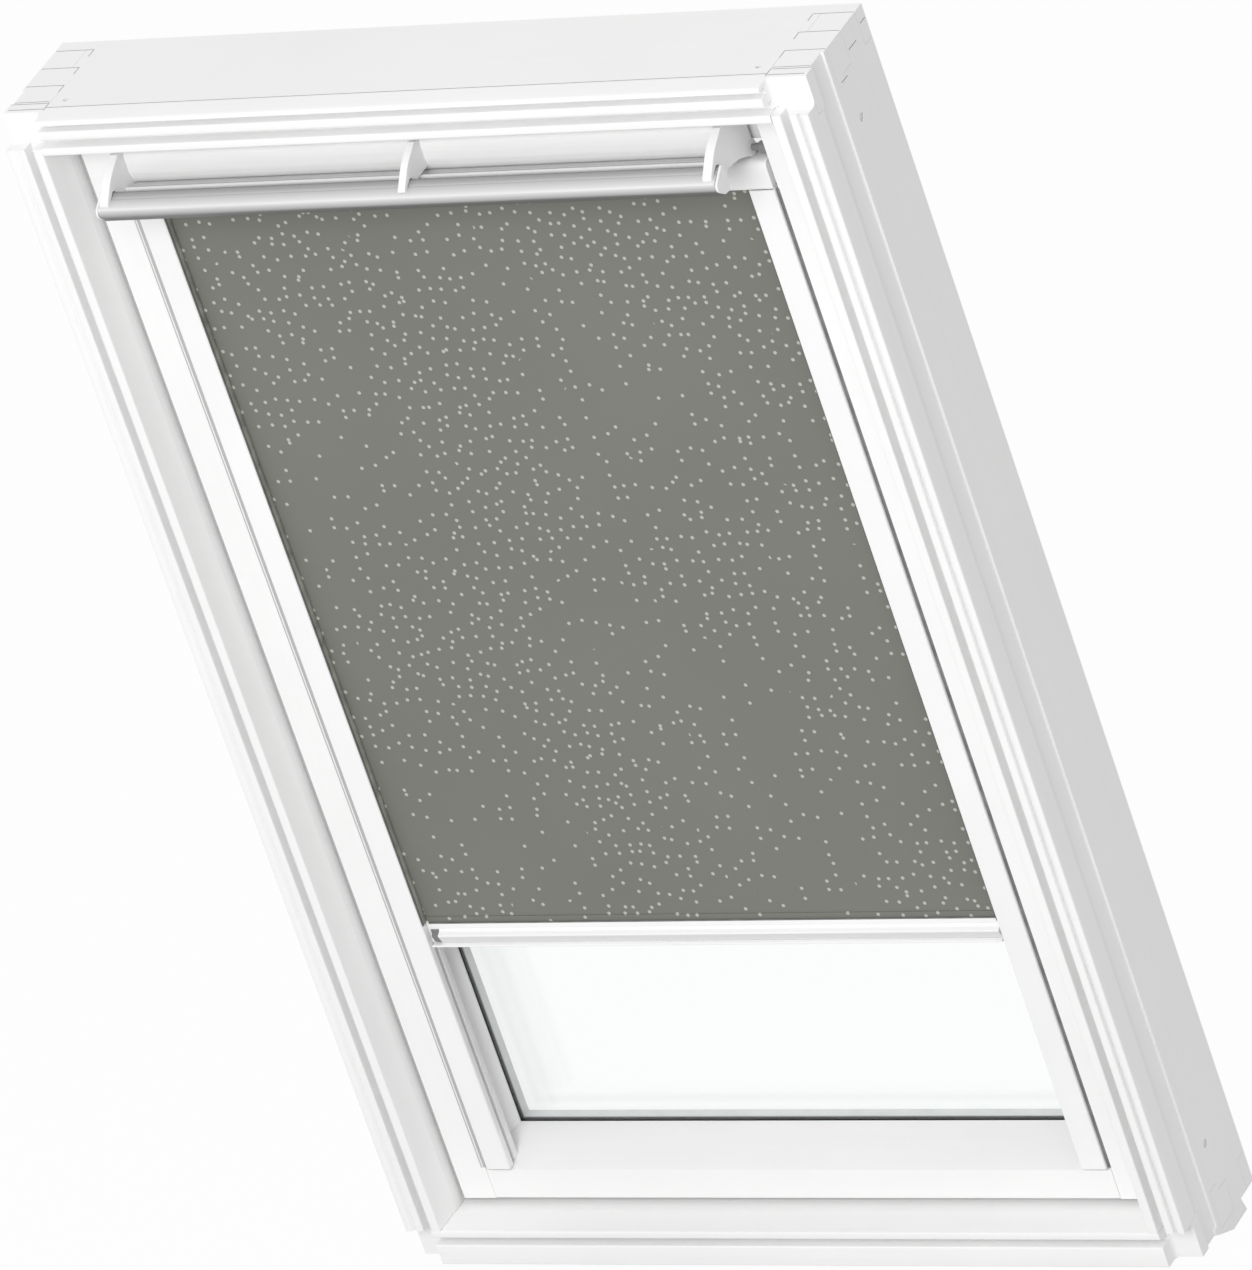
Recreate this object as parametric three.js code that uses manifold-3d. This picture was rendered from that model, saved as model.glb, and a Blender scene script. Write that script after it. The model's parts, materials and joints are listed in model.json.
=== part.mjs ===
// Centre-pivot roof window with a roller blackout blind fitted in its sash.
// Millimetres. X runs across the window, Y from the room outwards, Z up the slope.
// Places in Y count from the plain faces of the frame's corners and places in Z from
// the underside of the sill. At the end the group is shifted, so that its origin is
// the bottom centre of its bounding box.

import * as THREE from 'three';
import * as BufferGeometryUtils from 'three/addons/utils/BufferGeometryUtils.js';
import Module from 'manifold-3d';

const wasm = await Module();
wasm.setup();

// Clearances and overruns that serve every piece

const seatGap = 0.3;
const runningGap = 0.08;
const cutOverrun = 3;
const weld = 0.0001;

// Frame: overall size and members

const frameWidth = 780;
const frameHeight = 1190;
const frameDepth = 114;
const jambWidth = 39;
const headWidth = 39;
const sillWidth = 38;
const timberRound = 1.5;

// Frame: ridges and lining groove of the room side

const ridgeRise = 16;
const liningGrooveWidth = 7.8;
const liningGrooveDepth = 13;
const tongueTaperEnd = 14;
const jambStripWidth = 6;
const jambQuirkWidth = 5;
const jambQuirkDepth = 5;
const jambBandWidth = 7.5;
const jambLipWidth = 9;
const headStripWidth = 5.4;
const headEdgeTaper = 2;
const headEdgeStart = 4;
const headEdgeRound = 3;
const headGrooveWidth = 6.2;
const headGrooveDepth = 10;
const headBandWidth = 8.3;
const headLipWidth = 7.3;
const sillStripWidth = 20.8;
const sillLipWidth = 7.4;

// Frame: outer side and back rebate

const sideRecessStart = 9;
const sideRecessEnd = 36;
const sideRecessDepth = 2.5;
const rebateStart = 55;
const rebateDepth = 7.4;

// Frame: corners

const firstFinger = 13;
const fingerPitch = 29;
const cornerPatchTop = 28;
const cornerPatchBottom = 36;
const headRidgeInset = 38;
const sillRidgeInset = 26;
const coveRadius = 6;
const hornLength = 14;
const hornFrontY = 31;
const hornTipY = 60;
const hornTipLength = 30;
const hornBackY = 86;
const hornRoot = 6;
const heelHeight = 16;
const heelDepth = 5;
const headPilotRadius = 2.5;
const headPilotDepth = 9;
const headPilotInset = 53;
const headPilotY = 18;
const cornerScrewRadius = 3.4;
const cornerScrewLength = 24;
const cornerScrewSink = 0.8;
const cornerScrewInset = 77;
const cornerScrewY = 60;

// Sash timber

const sashSideGap = 4.5;
const sashHeadGap = 4.5;
const sashSillGap = 5.8;
const sashFaceY = 24;
const sashDepth = 88;
const stileFaceWidth = 33;
const railFaceHeight = 30;
const revealDepth = 46;
const revealSlope = 21;
const lipEdge = 2;
const seatStartDepth = 8;
const seatEndDepth = 21;
const glassRebate = 15;
const backChamferWidth = 10;
const backChamferDepth = 13;
const topRailSetback = 16;

// Glazing

const paneThickness = 4;
const spacerThickness = 15;
const spacerWidth = 10;
const paneEdgeGap = 3;
const sealPadThickness = 1.4;
const sealPadWidth = 8;
const blockLength = 60;
const blockWidth = 22;
const blockInset = 120;

// Outside covers of the sash

const coverThickness = 1.2;
const coverRise = 16;
const coverEdgeInset = 3;
const coverFlat = 17;
const coverTipOverlap = 1.5;

// Frame seal

const frameSealFront = 62;
const frameSealDepth = 9;
const frameSealSideGap = 2.5;
const frameSealHeadGap = 3.1;
const frameSealSillGap = 3;
const frameSealPivotClear = 90;
const frameSealFoot = 3;
const frameSealWeb = 3;

// Centre pivot

const pivotY = 70;
const pinRadius = 6;
const pinReach = 11;
const pinBoreGap = 1;
const pivotPlateLength = 130;
const pivotPlateDepth = 22;
const pivotPlateThickness = 1.6;
const pivotBossRadius = 10;
const pivotBossGap = 1;
const pivotScrewRadius = 2.2;
const pivotScrewHeadRadius = 3.8;
const pivotScrewHead = 0.7;
const pivotScrewLength = 18;
const pivotScrewInset = 18;

// Lock, strike plate and air filter

const lockCaseWidth = 110;
const lockCaseDepth = 12;
const lockCaseHeight = 26;
const lockCaseSetback = 2;
const boltWidth = 26;
const boltThickness = 5;
const boltLength = 20;
const boltTravel = 12;
const strikeWidth = 80;
const strikeDepth = 16;
const strikeThickness = 1.3;
const strikeSlotMargin = 1.5;
const strikeFrontY = 38;
const filterEndInset = 43.5;
const filterThickness = 3.4;
const filterHeight = 16;
const filterDrop = 15;

// Ventilation flap and its hinge: rises count up from the hinge axis

const flapFaceY = 1;
const flapTopFaceY = 6;
const flapTopRise = 41;
const flapBellyRise = 25;
const flapFootRise = 13;
const flapFootY = 3.5;
const flapLipY = -11;
const flapLipRise = 10;
const flapLipThickness = 2.5;
const flapUnderRise = 5;
const flapUnderY = 9;
const flapBackY = 34;
const flapSkin = 2.2;
const flapRound = 6;
const hingeY = 31;
const hingeDrop = 40.5;
const hubRadius = 7.5;
const hingePinRadius = 3;
const hingePinReach = 4.5;
const bushRadius = 5.5;
const bushStand = 7.5;
const bushFloor = 2;
const gasketThickness = 3;
const gasketHeight = 8;
const gasketDrop = 1;

// Brackets between the flap and the control bar: rises count from the hinge axis

const endBracketInset = 11;
const endBracketWidth = 8.5;
const middleBracketWidth = 7;
const bracketTopY = -5;
const bracketTopRise = 41;
const bracketWaistY = -25;
const bracketWaistRise = 31;
const bracketTipY = -43.5;
const bracketTipRise = 14;
const bracketTuckY = -36;
const bracketHeelY = -22.5;
const bracketHeelRise = -2;
const bracketArchY = -14;
const endArchRise = 7.5;
const middleArchRise = 12.8;
const bracketArmY = 8;
const bracketArmRise = 3;
const bracketRootY = 4.5;
const bracketRootRise = 37;
const bracketBackRise = 40;

// Control bar: rises count from the hinge axis

const barEndInset = 13.5;
const barRidgeY = -27.5;
const barRidgeRise = 20;
const barFrontY = -45;
const barFrontTopRise = 9.5;
const barFrontBottomRise = 3;
const barUnderY = -36;
const barUnderRise = -4;
const barHeelY = -28;
const barHeelRise = -5;
const barBackY = -25;
const barBackBottomRise = -1;
const barBackTopRise = 16;
const barWall = 1.8;
const barRound = 3;
const capThickness = 2;
const capPlug = 10;

// Blind casing, channels and roller

const blindSeatDepth = 2.7;
const blindFaceY = 21;
const casingDrop = 9;
const casingHeight = 27;
const casingWall = 1.5;
const casingTopRound = 6;
const casingBottomRound = 3;
const casingSlot = 5;
const endPlateThickness = 3;
const channelWidth = 24.5;
const channelDepth = 20;
const channelFrontWall = 7.5;
const channelSlot = 5;
const channelSlotDepth = 17;
const channelWall = 1.6;
const channelRound = 2;
const channelEndGap = 3.3;
const channelScrewRadius = 1.6;
const channelScrewHeadRadius = 2.2;
const channelScrewHead = 1.2;
const channelScrewLength = 16;
const channelScrewSpacing = 380;
const rollRadius = 9.6;
const tubeRadius = 7.5;
const tubeWall = 1;
const rollerSideGap = 0.8;
const shaftRadius = 3;
const plugFlange = 0.5;
const plugLength = 16;
const cassetteLength = 180;
const cassetteFlute = 1;

// Blind fabric and bottom bar

const fabricThickness = 0.6;
const fabricEdge = 13;
const blindOpenHeight = 261.4;
const bottomBarHeight = 24.5;
const bottomBarSideGap = 2.3;
const bottomBarFrontY = 24.5;
const bottomBarBackY = 36;
const bottomBarLip = 5;
const bottomBarLipStep = 1.5;
const bottomBarFlange = 4.5;
const bottomBarFlangeY = 22.5;
const bottomBarRecess = 5.5;
const bottomBarRecessDepth = 6.5;
const bottomBarCore = 5;
const bottomBarCoreDrop = 4.5;
const guideThickness = 4;
const guideInset = 1.2;
const guideStub = 15;

// Shares of lengths, and counts of sides

const halfShare = 0.5;
const endShares = [-1, 1];
const screwRowShares = [-1, 0, 1];
const roundSides = 24;
const smallSides = 12;

// Places that follow from the values above

const frameHalf = frameWidth * halfShare;
const jambInnerX = frameHalf - jambWidth;
const jambRebateX = jambInnerX + rebateDepth;
const headInnerZ = frameHeight - headWidth;
const jambLipEnd = jambStripWidth + jambQuirkWidth + jambBandWidth + liningGrooveWidth + jambLipWidth;
const headLipEnd = headStripWidth + headGrooveWidth + headBandWidth + liningGrooveWidth + headLipWidth;
const sillLipEnd = sillStripWidth + liningGrooveWidth + sillLipWidth;
const sashHalf = jambInnerX - sashSideGap;
const sashBottomZ = sillWidth + sashSillGap;
const sashTopZ = headInnerZ - sashHeadGap;
const sashBackY = sashFaceY + sashDepth;
const stileFaceX = sashHalf - stileFaceWidth;
const stileSeatX = stileFaceX - blindSeatDepth;
const blindHalfWidth = stileSeatX - seatGap;
const lipX = stileFaceX - revealSlope;
const lipY = sashFaceY + revealDepth;
const bottomFaceZ = sashBottomZ + railFaceHeight;
const bottomLipZ = bottomFaceZ + revealSlope;
const topLipZ = sashTopZ - railFaceHeight - revealSlope;
const topRailFaceY = sashFaceY + topRailSetback;
const pivotZ = frameHeight * halfShare;
const hingeZ = sashTopZ - hingeDrop;
const casingTopZ = hingeZ - casingDrop;
const casingBottomZ = casingTopZ - casingHeight;
const innerPaneY = lipY + seatGap + sealPadThickness + seatGap;
const spacerY = innerPaneY + paneThickness + seatGap;
const outerPaneY = spacerY + spacerThickness + seatGap;
const glassBackY = outerPaneY + paneThickness;
const paneHalf = lipX + glassRebate - paneEdgeGap;
const paneBottomZ = bottomLipZ - glassRebate + paneEdgeGap;
const paneTopZ = topLipZ + glassRebate - paneEdgeGap;
const coverBackY = sashBackY + seatGap + coverRise;
const channelInnerX = blindHalfWidth - channelWidth;
const channelWebX = channelInnerX + channelSlotDepth;
const channelBottomZ = bottomFaceZ + channelEndGap;
const channelTopZ = casingBottomZ - seatGap;
const slotY = blindFaceY + channelFrontWall;
const fabricY = slotY + channelSlot * halfShare;
const fabricHalf = channelInnerX + fabricEdge;
const rollerY = fabricY + fabricThickness * halfShare + seatGap + rollRadius;
const rollerZ = (casingBottomZ + casingTopZ) * halfShare;
const rollerHalf = fabricHalf - rollerSideGap;
const casingBackY = rollerY + rollRadius + casingWall + casingWall;
const endPlateX = fabricHalf + rollerSideGap;
const bottomBarHalf = channelInnerX - bottomBarSideGap;
const bottomBarTopZ = channelBottomZ + blindOpenHeight;
const bottomBarZ = bottomBarTopZ - bottomBarHeight;
const barHalfLength = stileFaceX - barEndInset;
const endBracketInner = barHalfLength - endBracketInset;
const endBracketOuter = endBracketInner + endBracketWidth;
const flapHalf = endBracketInner - seatGap;
const hingePinEnd = stileFaceX + hingePinReach;
const bushStart = stileFaceX - bushStand;
const bushEnd = hingePinEnd + bushFloor;
const filterWidth = (stileFaceX - filterEndInset) / halfShare;
const boltY = topRailFaceY + lockCaseSetback + lockCaseDepth * halfShare;
const boltTopZ = sashTopZ - seatGap;
const strikeSlotWidth = boltWidth + strikeSlotMargin + strikeSlotMargin;
const strikeSlotDepth = boltThickness + strikeSlotMargin + strikeSlotMargin;

// Finishes

const timberFinish = { color: 0xf6f6f4, roughness: 0.45, metalness: 0 };
const steelFinish = { color: 0xb9bcc0, roughness: 0.35, metalness: 1 };
const barFinish = { color: 0xc4c6c8, roughness: 0.28, metalness: 1 };
const whiteMetalFinish = { color: 0xf4f4f2, roughness: 0.35, metalness: 0 };
const coverFinish = { color: 0x5c5f61, roughness: 0.5, metalness: 0.4 };
const plasticFinish = { color: 0xf1f1ee, roughness: 0.4, metalness: 0 };
const spacerFinish = { color: 0x2a2b2c, roughness: 0.7, metalness: 0 };
const glassFinish = { color: 0xdfe9e6, roughness: 0.02, metalness: 0, transparent: true, opacity: 0.35 };
const rubberFinish = { color: 0x4b4c4d, roughness: 0.85, metalness: 0 };
const foamFinish = { color: 0x4a4b4a, roughness: 1, metalness: 0 };
const fabricFinish = { color: 0x80807a, roughness: 0.95, metalness: 0 };

// A closed geometry as a boolean solid, its shared vertices merged.
function solid(geometry) {
  const bare = geometry.index ? geometry.toNonIndexed() : geometry.clone();
  bare.deleteAttribute('normal');
  bare.deleteAttribute('uv');
  const merged = BufferGeometryUtils.mergeVertices(bare, weld);
  return new wasm.Manifold(new wasm.Mesh({
    numProp: 3,
    vertProperties: new Float32Array(merged.attributes.position.array),
    triVerts: new Uint32Array(merged.index.array),
  }));
}

// A boolean solid as a geometry with flat faces.
function geometryOf(body) {
  const mesh = body.getMesh();
  const geometry = new THREE.BufferGeometry();
  const places = new Float32Array(mesh.vertProperties);
  geometry.setAttribute('position', new THREE.BufferAttribute(places, mesh.numProp));
  geometry.setIndex(new THREE.BufferAttribute(new Uint32Array(mesh.triVerts), 1));
  const flat = geometry.toNonIndexed();
  flat.computeVertexNormals();
  return flat;
}

// A box between two places on each axis.
function block(x0, x1, y0, y1, z0, z1) {
  const geometry = new THREE.BoxGeometry(x1 - x0, y1 - y0, z1 - z0);
  geometry.translate((x0 + x1) * halfShare, (y0 + y1) * halfShare, (z0 + z1) * halfShare);
  return solid(geometry);
}

// A box centred on x = 0 and on a place in Y.
function centredBlock(width, y, depth, z0, z1) {
  const across = width * halfShare;
  const half = depth * halfShare;
  return block(-across, across, y - half, y + half, z0, z1);
}

// A closed outline of corner points; a third value in a point rounds that corner.
function outline(points) {
  const shape = new THREE.Shape();
  const corners = points.map(([a, b]) => new THREE.Vector2(a, b));
  corners.forEach((corner, i) => {
    const round = points[i][2] ?? 0;
    const before = corners[(i + corners.length - 1) % corners.length];
    const after = corners[(i + 1) % corners.length];
    const enter = before.clone().sub(corner).setLength(round).add(corner);
    const leave = after.clone().sub(corner).setLength(round).add(corner);
    if (i === 0) shape.moveTo(enter.x, enter.y);
    else shape.lineTo(enter.x, enter.y);
    if (round > 0) shape.quadraticCurveTo(corner.x, corner.y, leave.x, leave.y);
  });
  shape.closePath();
  return shape;
}

// An outline in Y and Z, carried along X.
function alongX(points, x0, x1, curveSegments = 4) {
  const depth = x1 - x0;
  const geometry = new THREE.ExtrudeGeometry(outline(points), { depth, bevelEnabled: false, curveSegments });
  const across = new THREE.Vector3(0, 1, 0);
  const up = new THREE.Vector3(0, 0, 1);
  const along = new THREE.Vector3(1, 0, 0);
  geometry.applyMatrix4(new THREE.Matrix4().makeBasis(across, up, along));
  geometry.translate(x0, 0, 0);
  return solid(geometry);
}

// An outline in X and Y, carried along Z.
function alongZ(points, z0, z1, curveSegments = 4) {
  const depth = z1 - z0;
  const geometry = new THREE.ExtrudeGeometry(outline(points), { depth, bevelEnabled: false, curveSegments });
  geometry.translate(0, 0, z0);
  return solid(geometry);
}

// An outline in Y and in rise above the flap's hinge axis, carried along X.
function hungAlongX(points, x0, x1) {
  return alongX(points.map(([y, rise, round]) => [y, hingeZ + rise, round]), x0, x1);
}

// A round bar along X with its axis at y, z.
function roundX(radius, x0, x1, y, z, sides = roundSides) {
  const geometry = new THREE.CylinderGeometry(radius, radius, x1 - x0, sides);
  geometry.rotateZ(Math.PI * halfShare);
  geometry.translate((x0 + x1) * halfShare, y, z);
  return solid(geometry);
}

// A round bar along Z with its axis at x, y.
function roundZ(radius, z0, z1, x, y, sides = smallSides) {
  const geometry = new THREE.CylinderGeometry(radius, radius, z1 - z0, sides);
  geometry.rotateX(Math.PI * halfShare);
  geometry.translate(x, y, (z0 + z1) * halfShare);
  return solid(geometry);
}

// The radius of a faceted bore whose flats clear a turning pin by the running gap.
function boreRadius(radius, sides = roundSides) {
  return (radius + runningGap) / Math.cos(Math.PI / sides);
}

// The left-hand twin of a right-hand solid.
function twin(body) {
  return body.mirror([1, 0, 0]);
}

// A solid together with its left-hand twin.
function pair(body) {
  return body.add(twin(body));
}

// Several separate solids as one.
function joined(bodies) {
  return bodies.reduce((all, body) => all.add(body));
}

const group = new THREE.Group();

// Adds a named sub-part with its finish.
function addPart(name, body, finish) {
  const mesh = new THREE.Mesh(geometryOf(body), new THREE.MeshStandardMaterial(finish));
  mesh.name = name;
  group.add(mesh);
}

// Adds a right-hand sub-part and its left-hand twin.
function addPair(name, body, finish) {
  addPart(`${name}_right`, body, finish);
  addPart(`${name}_left`, twin(body), finish);
}

// Frame members: sections as distance in from the outer face, and Y

const ridgeY = -ridgeRise;
const grooveFloorY = liningGrooveDepth - ridgeRise;

// The lining groove, the lip beside the opening, its taper and the back rebate.
function liningSide(lipEnd, lipWidth, width) {
  const lipStart = lipEnd - lipWidth;
  const grooveStart = lipStart - liningGrooveWidth;
  return [
    [grooveStart, ridgeY, timberRound],
    [grooveStart, grooveFloorY],
    [lipStart, grooveFloorY],
    [lipStart, ridgeY, timberRound],
    [lipEnd, ridgeY, timberRound],
    [width, tongueTaperEnd],
    [width, rebateStart],
    [width - rebateDepth, rebateStart],
    [width - rebateDepth, frameDepth],
  ];
}

function jambSection() {
  const bandStart = jambStripWidth + jambQuirkWidth;
  return [
    [0, frameDepth],
    [0, sideRecessEnd],
    [sideRecessDepth, sideRecessEnd],
    [sideRecessDepth, sideRecessStart],
    [0, sideRecessStart],
    [0, ridgeY, timberRound],
    [jambStripWidth, ridgeY, timberRound],
    [bandStart, ridgeY + jambQuirkDepth],
    [bandStart, ridgeY, timberRound],
    ...liningSide(jambLipEnd, jambLipWidth, jambWidth),
  ];
}

function headSection() {
  const bandStart = headStripWidth + headGrooveWidth;
  return [
    [0, frameDepth],
    [0, headEdgeStart],
    [headEdgeTaper, ridgeY, headEdgeRound],
    [headStripWidth, ridgeY],
    [headStripWidth, ridgeY + headGrooveDepth],
    [bandStart, ridgeY + headGrooveDepth],
    [bandStart, ridgeY, timberRound],
    ...liningSide(headLipEnd, headLipWidth, headWidth),
  ];
}

function sillSection() {
  return [
    [0, frameDepth],
    [0, ridgeY, timberRound],
    ...liningSide(sillLipEnd, sillLipWidth, sillWidth),
  ];
}

// The room that a member needs where another one meets it, open to the outside.
function roomSection(lipEnd, width) {
  const top = ridgeY - cutOverrun;
  const back = frameDepth + cutOverrun;
  return [
    [-cutOverrun, top],
    [-cutOverrun, back],
    [width - rebateDepth + seatGap, back],
    [width - rebateDepth + seatGap, rebateStart],
    [width + seatGap, rebateStart],
    [width + seatGap, tongueTaperEnd],
    [lipEnd + seatGap, ridgeY],
    [lipEnd + seatGap, top],
  ];
}

const frameReach = frameHalf + cutOverrun;

function jambShape(section, z0, z1) {
  return alongZ(section.map(([u, y, round]) => [frameHalf - u, y, round]), z0, z1);
}

function headShape(section, reach) {
  return alongX(section.map(([u, y, round]) => [y, frameHeight - u, round]), -reach, reach);
}

function sillShape(section, reach) {
  return alongX(section.map(([u, y, round]) => [y, u, round]), -reach, reach);
}

// The slabs of every second finger layer, from the given one outwards.
function fingerSlabs(first, grow) {
  const limits = [0];
  for (let y = firstFinger; y < frameDepth; y += fingerPitch) limits.push(y);
  limits.push(frameDepth);
  const slabs = [];
  for (let i = first; i + 1 < limits.length; i += 2) {
    const front = i === 0 ? 0 : limits[i] - grow;
    const back = limits[i + 1] + grow;
    slabs.push(block(-frameReach, frameReach, front, back, -cutOverrun, frameHeight + cutOverrun));
  }
  return joined(slabs);
}

// Cuts that leave a plain corner patch, with a hollow run-out up to the ridges.
// Beside the ridges of the head or sill the jamb's ridges end without a run-out.
function patchAcross(farZ, ridgeEndZ, ridgeInset) {
  const top = ridgeY - cutOverrun;
  const section = [[top, farZ], [0, farZ], [0, ridgeEndZ, coveRadius], [top, ridgeEndZ]];
  const plainEnd = frameHalf - ridgeInset + coveRadius + seatGap;
  const z0 = Math.min(farZ, ridgeEndZ);
  const z1 = Math.max(farZ, ridgeEndZ);
  const plain = block(jambInnerX - cutOverrun, plainEnd, top, 0, z0, z1);
  return alongX(section, jambInnerX - cutOverrun, frameReach).add(plain);
}

function patchUp(ridgeEndX, z0, z1) {
  const top = ridgeY - cutOverrun;
  const section = [[frameReach, top], [frameReach, 0], [ridgeEndX, 0, coveRadius], [ridgeEndX, top]];
  return alongZ(section, z0, z1);
}

// The horn below the jamb: its front slopes, and it passes under the sill's finger.
function horn() {
  const section = [
    [hornFrontY, 0], [hornTipY, -hornLength], [hornTipY + hornTipLength, -hornLength],
    [hornBackY, 0], [hornBackY, hornRoot], [hornFrontY, hornRoot],
  ];
  const front = firstFinger + fingerPitch - seatGap;
  const back = firstFinger + fingerPitch + fingerPitch + seatGap;
  const under = block(jambInnerX, frameReach, front, back, -seatGap, hornRoot + cutOverrun);
  return alongX(section, jambRebateX, frameHalf).subtract(under);
}

const cornerScrewPlaces = [cornerScrewInset, frameHeight - cornerScrewInset];

function cornerScrew(z) {
  const outer = frameHalf - cornerScrewSink;
  return roundX(cornerScrewRadius, outer - cornerScrewLength, outer, cornerScrewY, z, smallSides);
}

function cornerScrewBore(z) {
  const inner = frameHalf - cornerScrewSink - cornerScrewLength - seatGap;
  return roundX(cornerScrewRadius + seatGap, inner, frameReach, cornerScrewY, z, smallSides);
}

const pivotScrewReach = pivotPlateLength * halfShare - pivotScrewInset;
const pivotScrewPlaces = endShares.map((share) => pivotZ + share * pivotScrewReach);
const framePlateX = jambRebateX - seatGap - pivotPlateThickness;
const sashPlateX = sashHalf + seatGap;

// A bore along X for one of the screws of the pivot plates.
function pivotScrewBore(x0, x1, z) {
  return roundX(pivotScrewRadius + seatGap, x0, x1, pivotY, z, smallSides);
}

function rightJamb() {
  const slabs = fingerSlabs(0, seatGap);
  const headRoom = headShape(roomSection(headLipEnd, headWidth), frameReach).intersect(slabs);
  const sillRoom = sillShape(roomSection(sillLipEnd, sillWidth), frameReach).intersect(slabs);
  const heelFront = frameDepth - heelDepth;
  const heelBack = frameDepth + cutOverrun;
  const heel = [
    [heelFront, -cutOverrun], [heelFront, 0], [frameDepth, heelHeight],
    [heelBack, heelHeight], [heelBack, -cutOverrun],
  ];
  let body = jambShape(jambSection(), 0, frameHeight);
  body = body.subtract(patchAcross(frameHeight + cutOverrun, frameHeight - cornerPatchTop, headRidgeInset));
  body = body.subtract(patchAcross(-cutOverrun, cornerPatchBottom, sillRidgeInset));
  body = body.subtract(headRoom).subtract(sillRoom).add(horn());
  body = body.subtract(alongX(heel, jambInnerX - cutOverrun, frameReach));
  for (const z of cornerScrewPlaces) body = body.subtract(cornerScrewBore(z));
  const screwEnd = framePlateX + pivotScrewLength + seatGap;
  for (const z of pivotScrewPlaces) body = body.subtract(pivotScrewBore(jambInnerX, screwEnd, z));
  const boreEnd = jambRebateX + pinReach + pinBoreGap;
  return body.subtract(roundX(pinRadius + pinBoreGap, jambInnerX, boreEnd, pivotY, pivotZ));
}

// What the right-hand jamb and its corner patch take away from the head or the sill.
function cornerCut(ridgeEndX, patchZ0, patchZ1, meetZ0, meetZ1) {
  const room = jambShape(roomSection(jambLipEnd, jambWidth), -cutOverrun, frameHeight + cutOverrun);
  const front = block(0, frameReach, ridgeY - cutOverrun, seatGap, meetZ0, meetZ1);
  const fingers = room.intersect(fingerSlabs(1, 0));
  return fingers.add(room.intersect(front)).add(patchUp(ridgeEndX, patchZ0, patchZ1));
}

function frameHead() {
  const patchZ = frameHeight - cornerPatchTop;
  const corner = cornerCut(frameHalf - headRidgeInset, patchZ, frameHeight + cutOverrun,
    headInnerZ - cutOverrun, patchZ + seatGap);
  const pilot = roundZ(headPilotRadius, frameHeight - headPilotDepth, frameHeight + cutOverrun,
    frameHalf - headPilotInset, headPilotY);
  const pocketTop = boltTopZ + boltTravel + strikeSlotMargin;
  const pocket = centredBlock(strikeSlotWidth, boltY, strikeSlotDepth, headInnerZ - cutOverrun, pocketTop);
  return headShape(headSection(), frameHalf).subtract(pair(corner)).subtract(pair(pilot)).subtract(pocket);
}

function frameSill() {
  const corner = cornerCut(frameHalf - sillRidgeInset, -cutOverrun, cornerPatchBottom,
    cornerPatchBottom - seatGap, sillWidth + cutOverrun);
  return sillShape(sillSection(), frameHalf).subtract(pair(corner));
}

addPair('frame_jamb', rightJamb(), timberFinish);
addPart('frame_head', frameHead(), timberFinish);
addPart('frame_sill', frameSill(), timberFinish);
addPair('corner_screw_lower', cornerScrew(cornerScrewPlaces[0]), steelFinish);
addPair('corner_screw_upper', cornerScrew(cornerScrewPlaces[1]), steelFinish);

// Frame seal: a foot in the back rebate with a web that reaches towards the sash

function sealSection(reach) {
  const back = frameSealFront + frameSealDepth;
  const middle = (frameSealFront + back) * halfShare;
  const web = frameSealWeb * halfShare;
  return [
    [0, frameSealFront],
    [0, back],
    [frameSealFoot, back],
    [frameSealFoot, middle + web],
    [reach, middle + web, web],
    [reach, middle - web, web],
    [frameSealFoot, middle - web],
    [frameSealFoot, frameSealFront],
  ];
}

const jambFace = jambRebateX - seatGap;

// The upright strips of the seal at both jambs.
function sideSeals(z0, z1) {
  const section = sealSection(jambFace - sashHalf - frameSealSideGap);
  return pair(alongZ(section.map(([u, y, round]) => [jambFace - u, y, round]), z0, z1));
}

// The upper seal runs down both jambs to the pivots, the lower one up to them.
function upperSeal() {
  const headFace = headInnerZ + rebateDepth - seatGap;
  const section = sealSection(headFace - sashTopZ - frameSealHeadGap);
  const top = alongX(section.map(([u, y, round]) => [y, headFace - u, round]), -jambFace, jambFace);
  return top.add(sideSeals(pivotZ + frameSealPivotClear, headFace));
}

function lowerSeal() {
  const sillFace = sillWidth - rebateDepth + seatGap;
  const section = sealSection(sashBottomZ - sillFace - frameSealSillGap);
  const bottom = alongX(section.map(([u, y, round]) => [y, sillFace + u, round]), -jambFace, jambFace);
  return bottom.add(sideSeals(sillFace, pivotZ - frameSealPivotClear));
}

addPart('frame_seal_upper', upperSeal(), rubberFinish);
addPart('frame_seal_lower', lowerSeal(), rubberFinish);

// Sash timber

// Section of the right-hand stile in X and Y.
function stileSection() {
  return [
    [sashHalf, sashFaceY, timberRound],
    [sashHalf, sashBackY],
    [lipX + glassRebate + backChamferWidth, sashBackY],
    [lipX + glassRebate, sashBackY - backChamferDepth],
    [lipX + glassRebate, lipY],
    [lipX, lipY],
    [lipX, lipY - lipEdge],
    [stileSeatX, sashFaceY + seatEndDepth],
    [stileSeatX, sashFaceY + seatStartDepth],
    [stileFaceX, sashFaceY],
  ];
}

function fullStile() {
  return alongZ(stileSection(), sashBottomZ, sashTopZ);
}

const channelMiddleZ = (channelBottomZ + channelTopZ) * halfShare;
const channelScrewPlaces = screwRowShares.map((share) => channelMiddleZ + share * channelScrewSpacing);

// A screw drawn tight through the web of the channel into the stile.
function channelScrew(z) {
  const top = channelWebX - channelScrewHead;
  const end = channelWebX + channelScrewLength;
  const head = roundX(channelScrewHeadRadius, top, channelWebX + channelScrewHead, fabricY, z, smallSides);
  return head.add(roundX(channelScrewRadius, channelWebX, end, fabricY, z, smallSides));
}

function channelScrewBore(z) {
  const end = channelWebX + channelScrewLength + seatGap;
  return roundX(channelScrewRadius + seatGap, channelWebX - cutOverrun, end, fabricY, z, smallSides);
}

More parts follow.
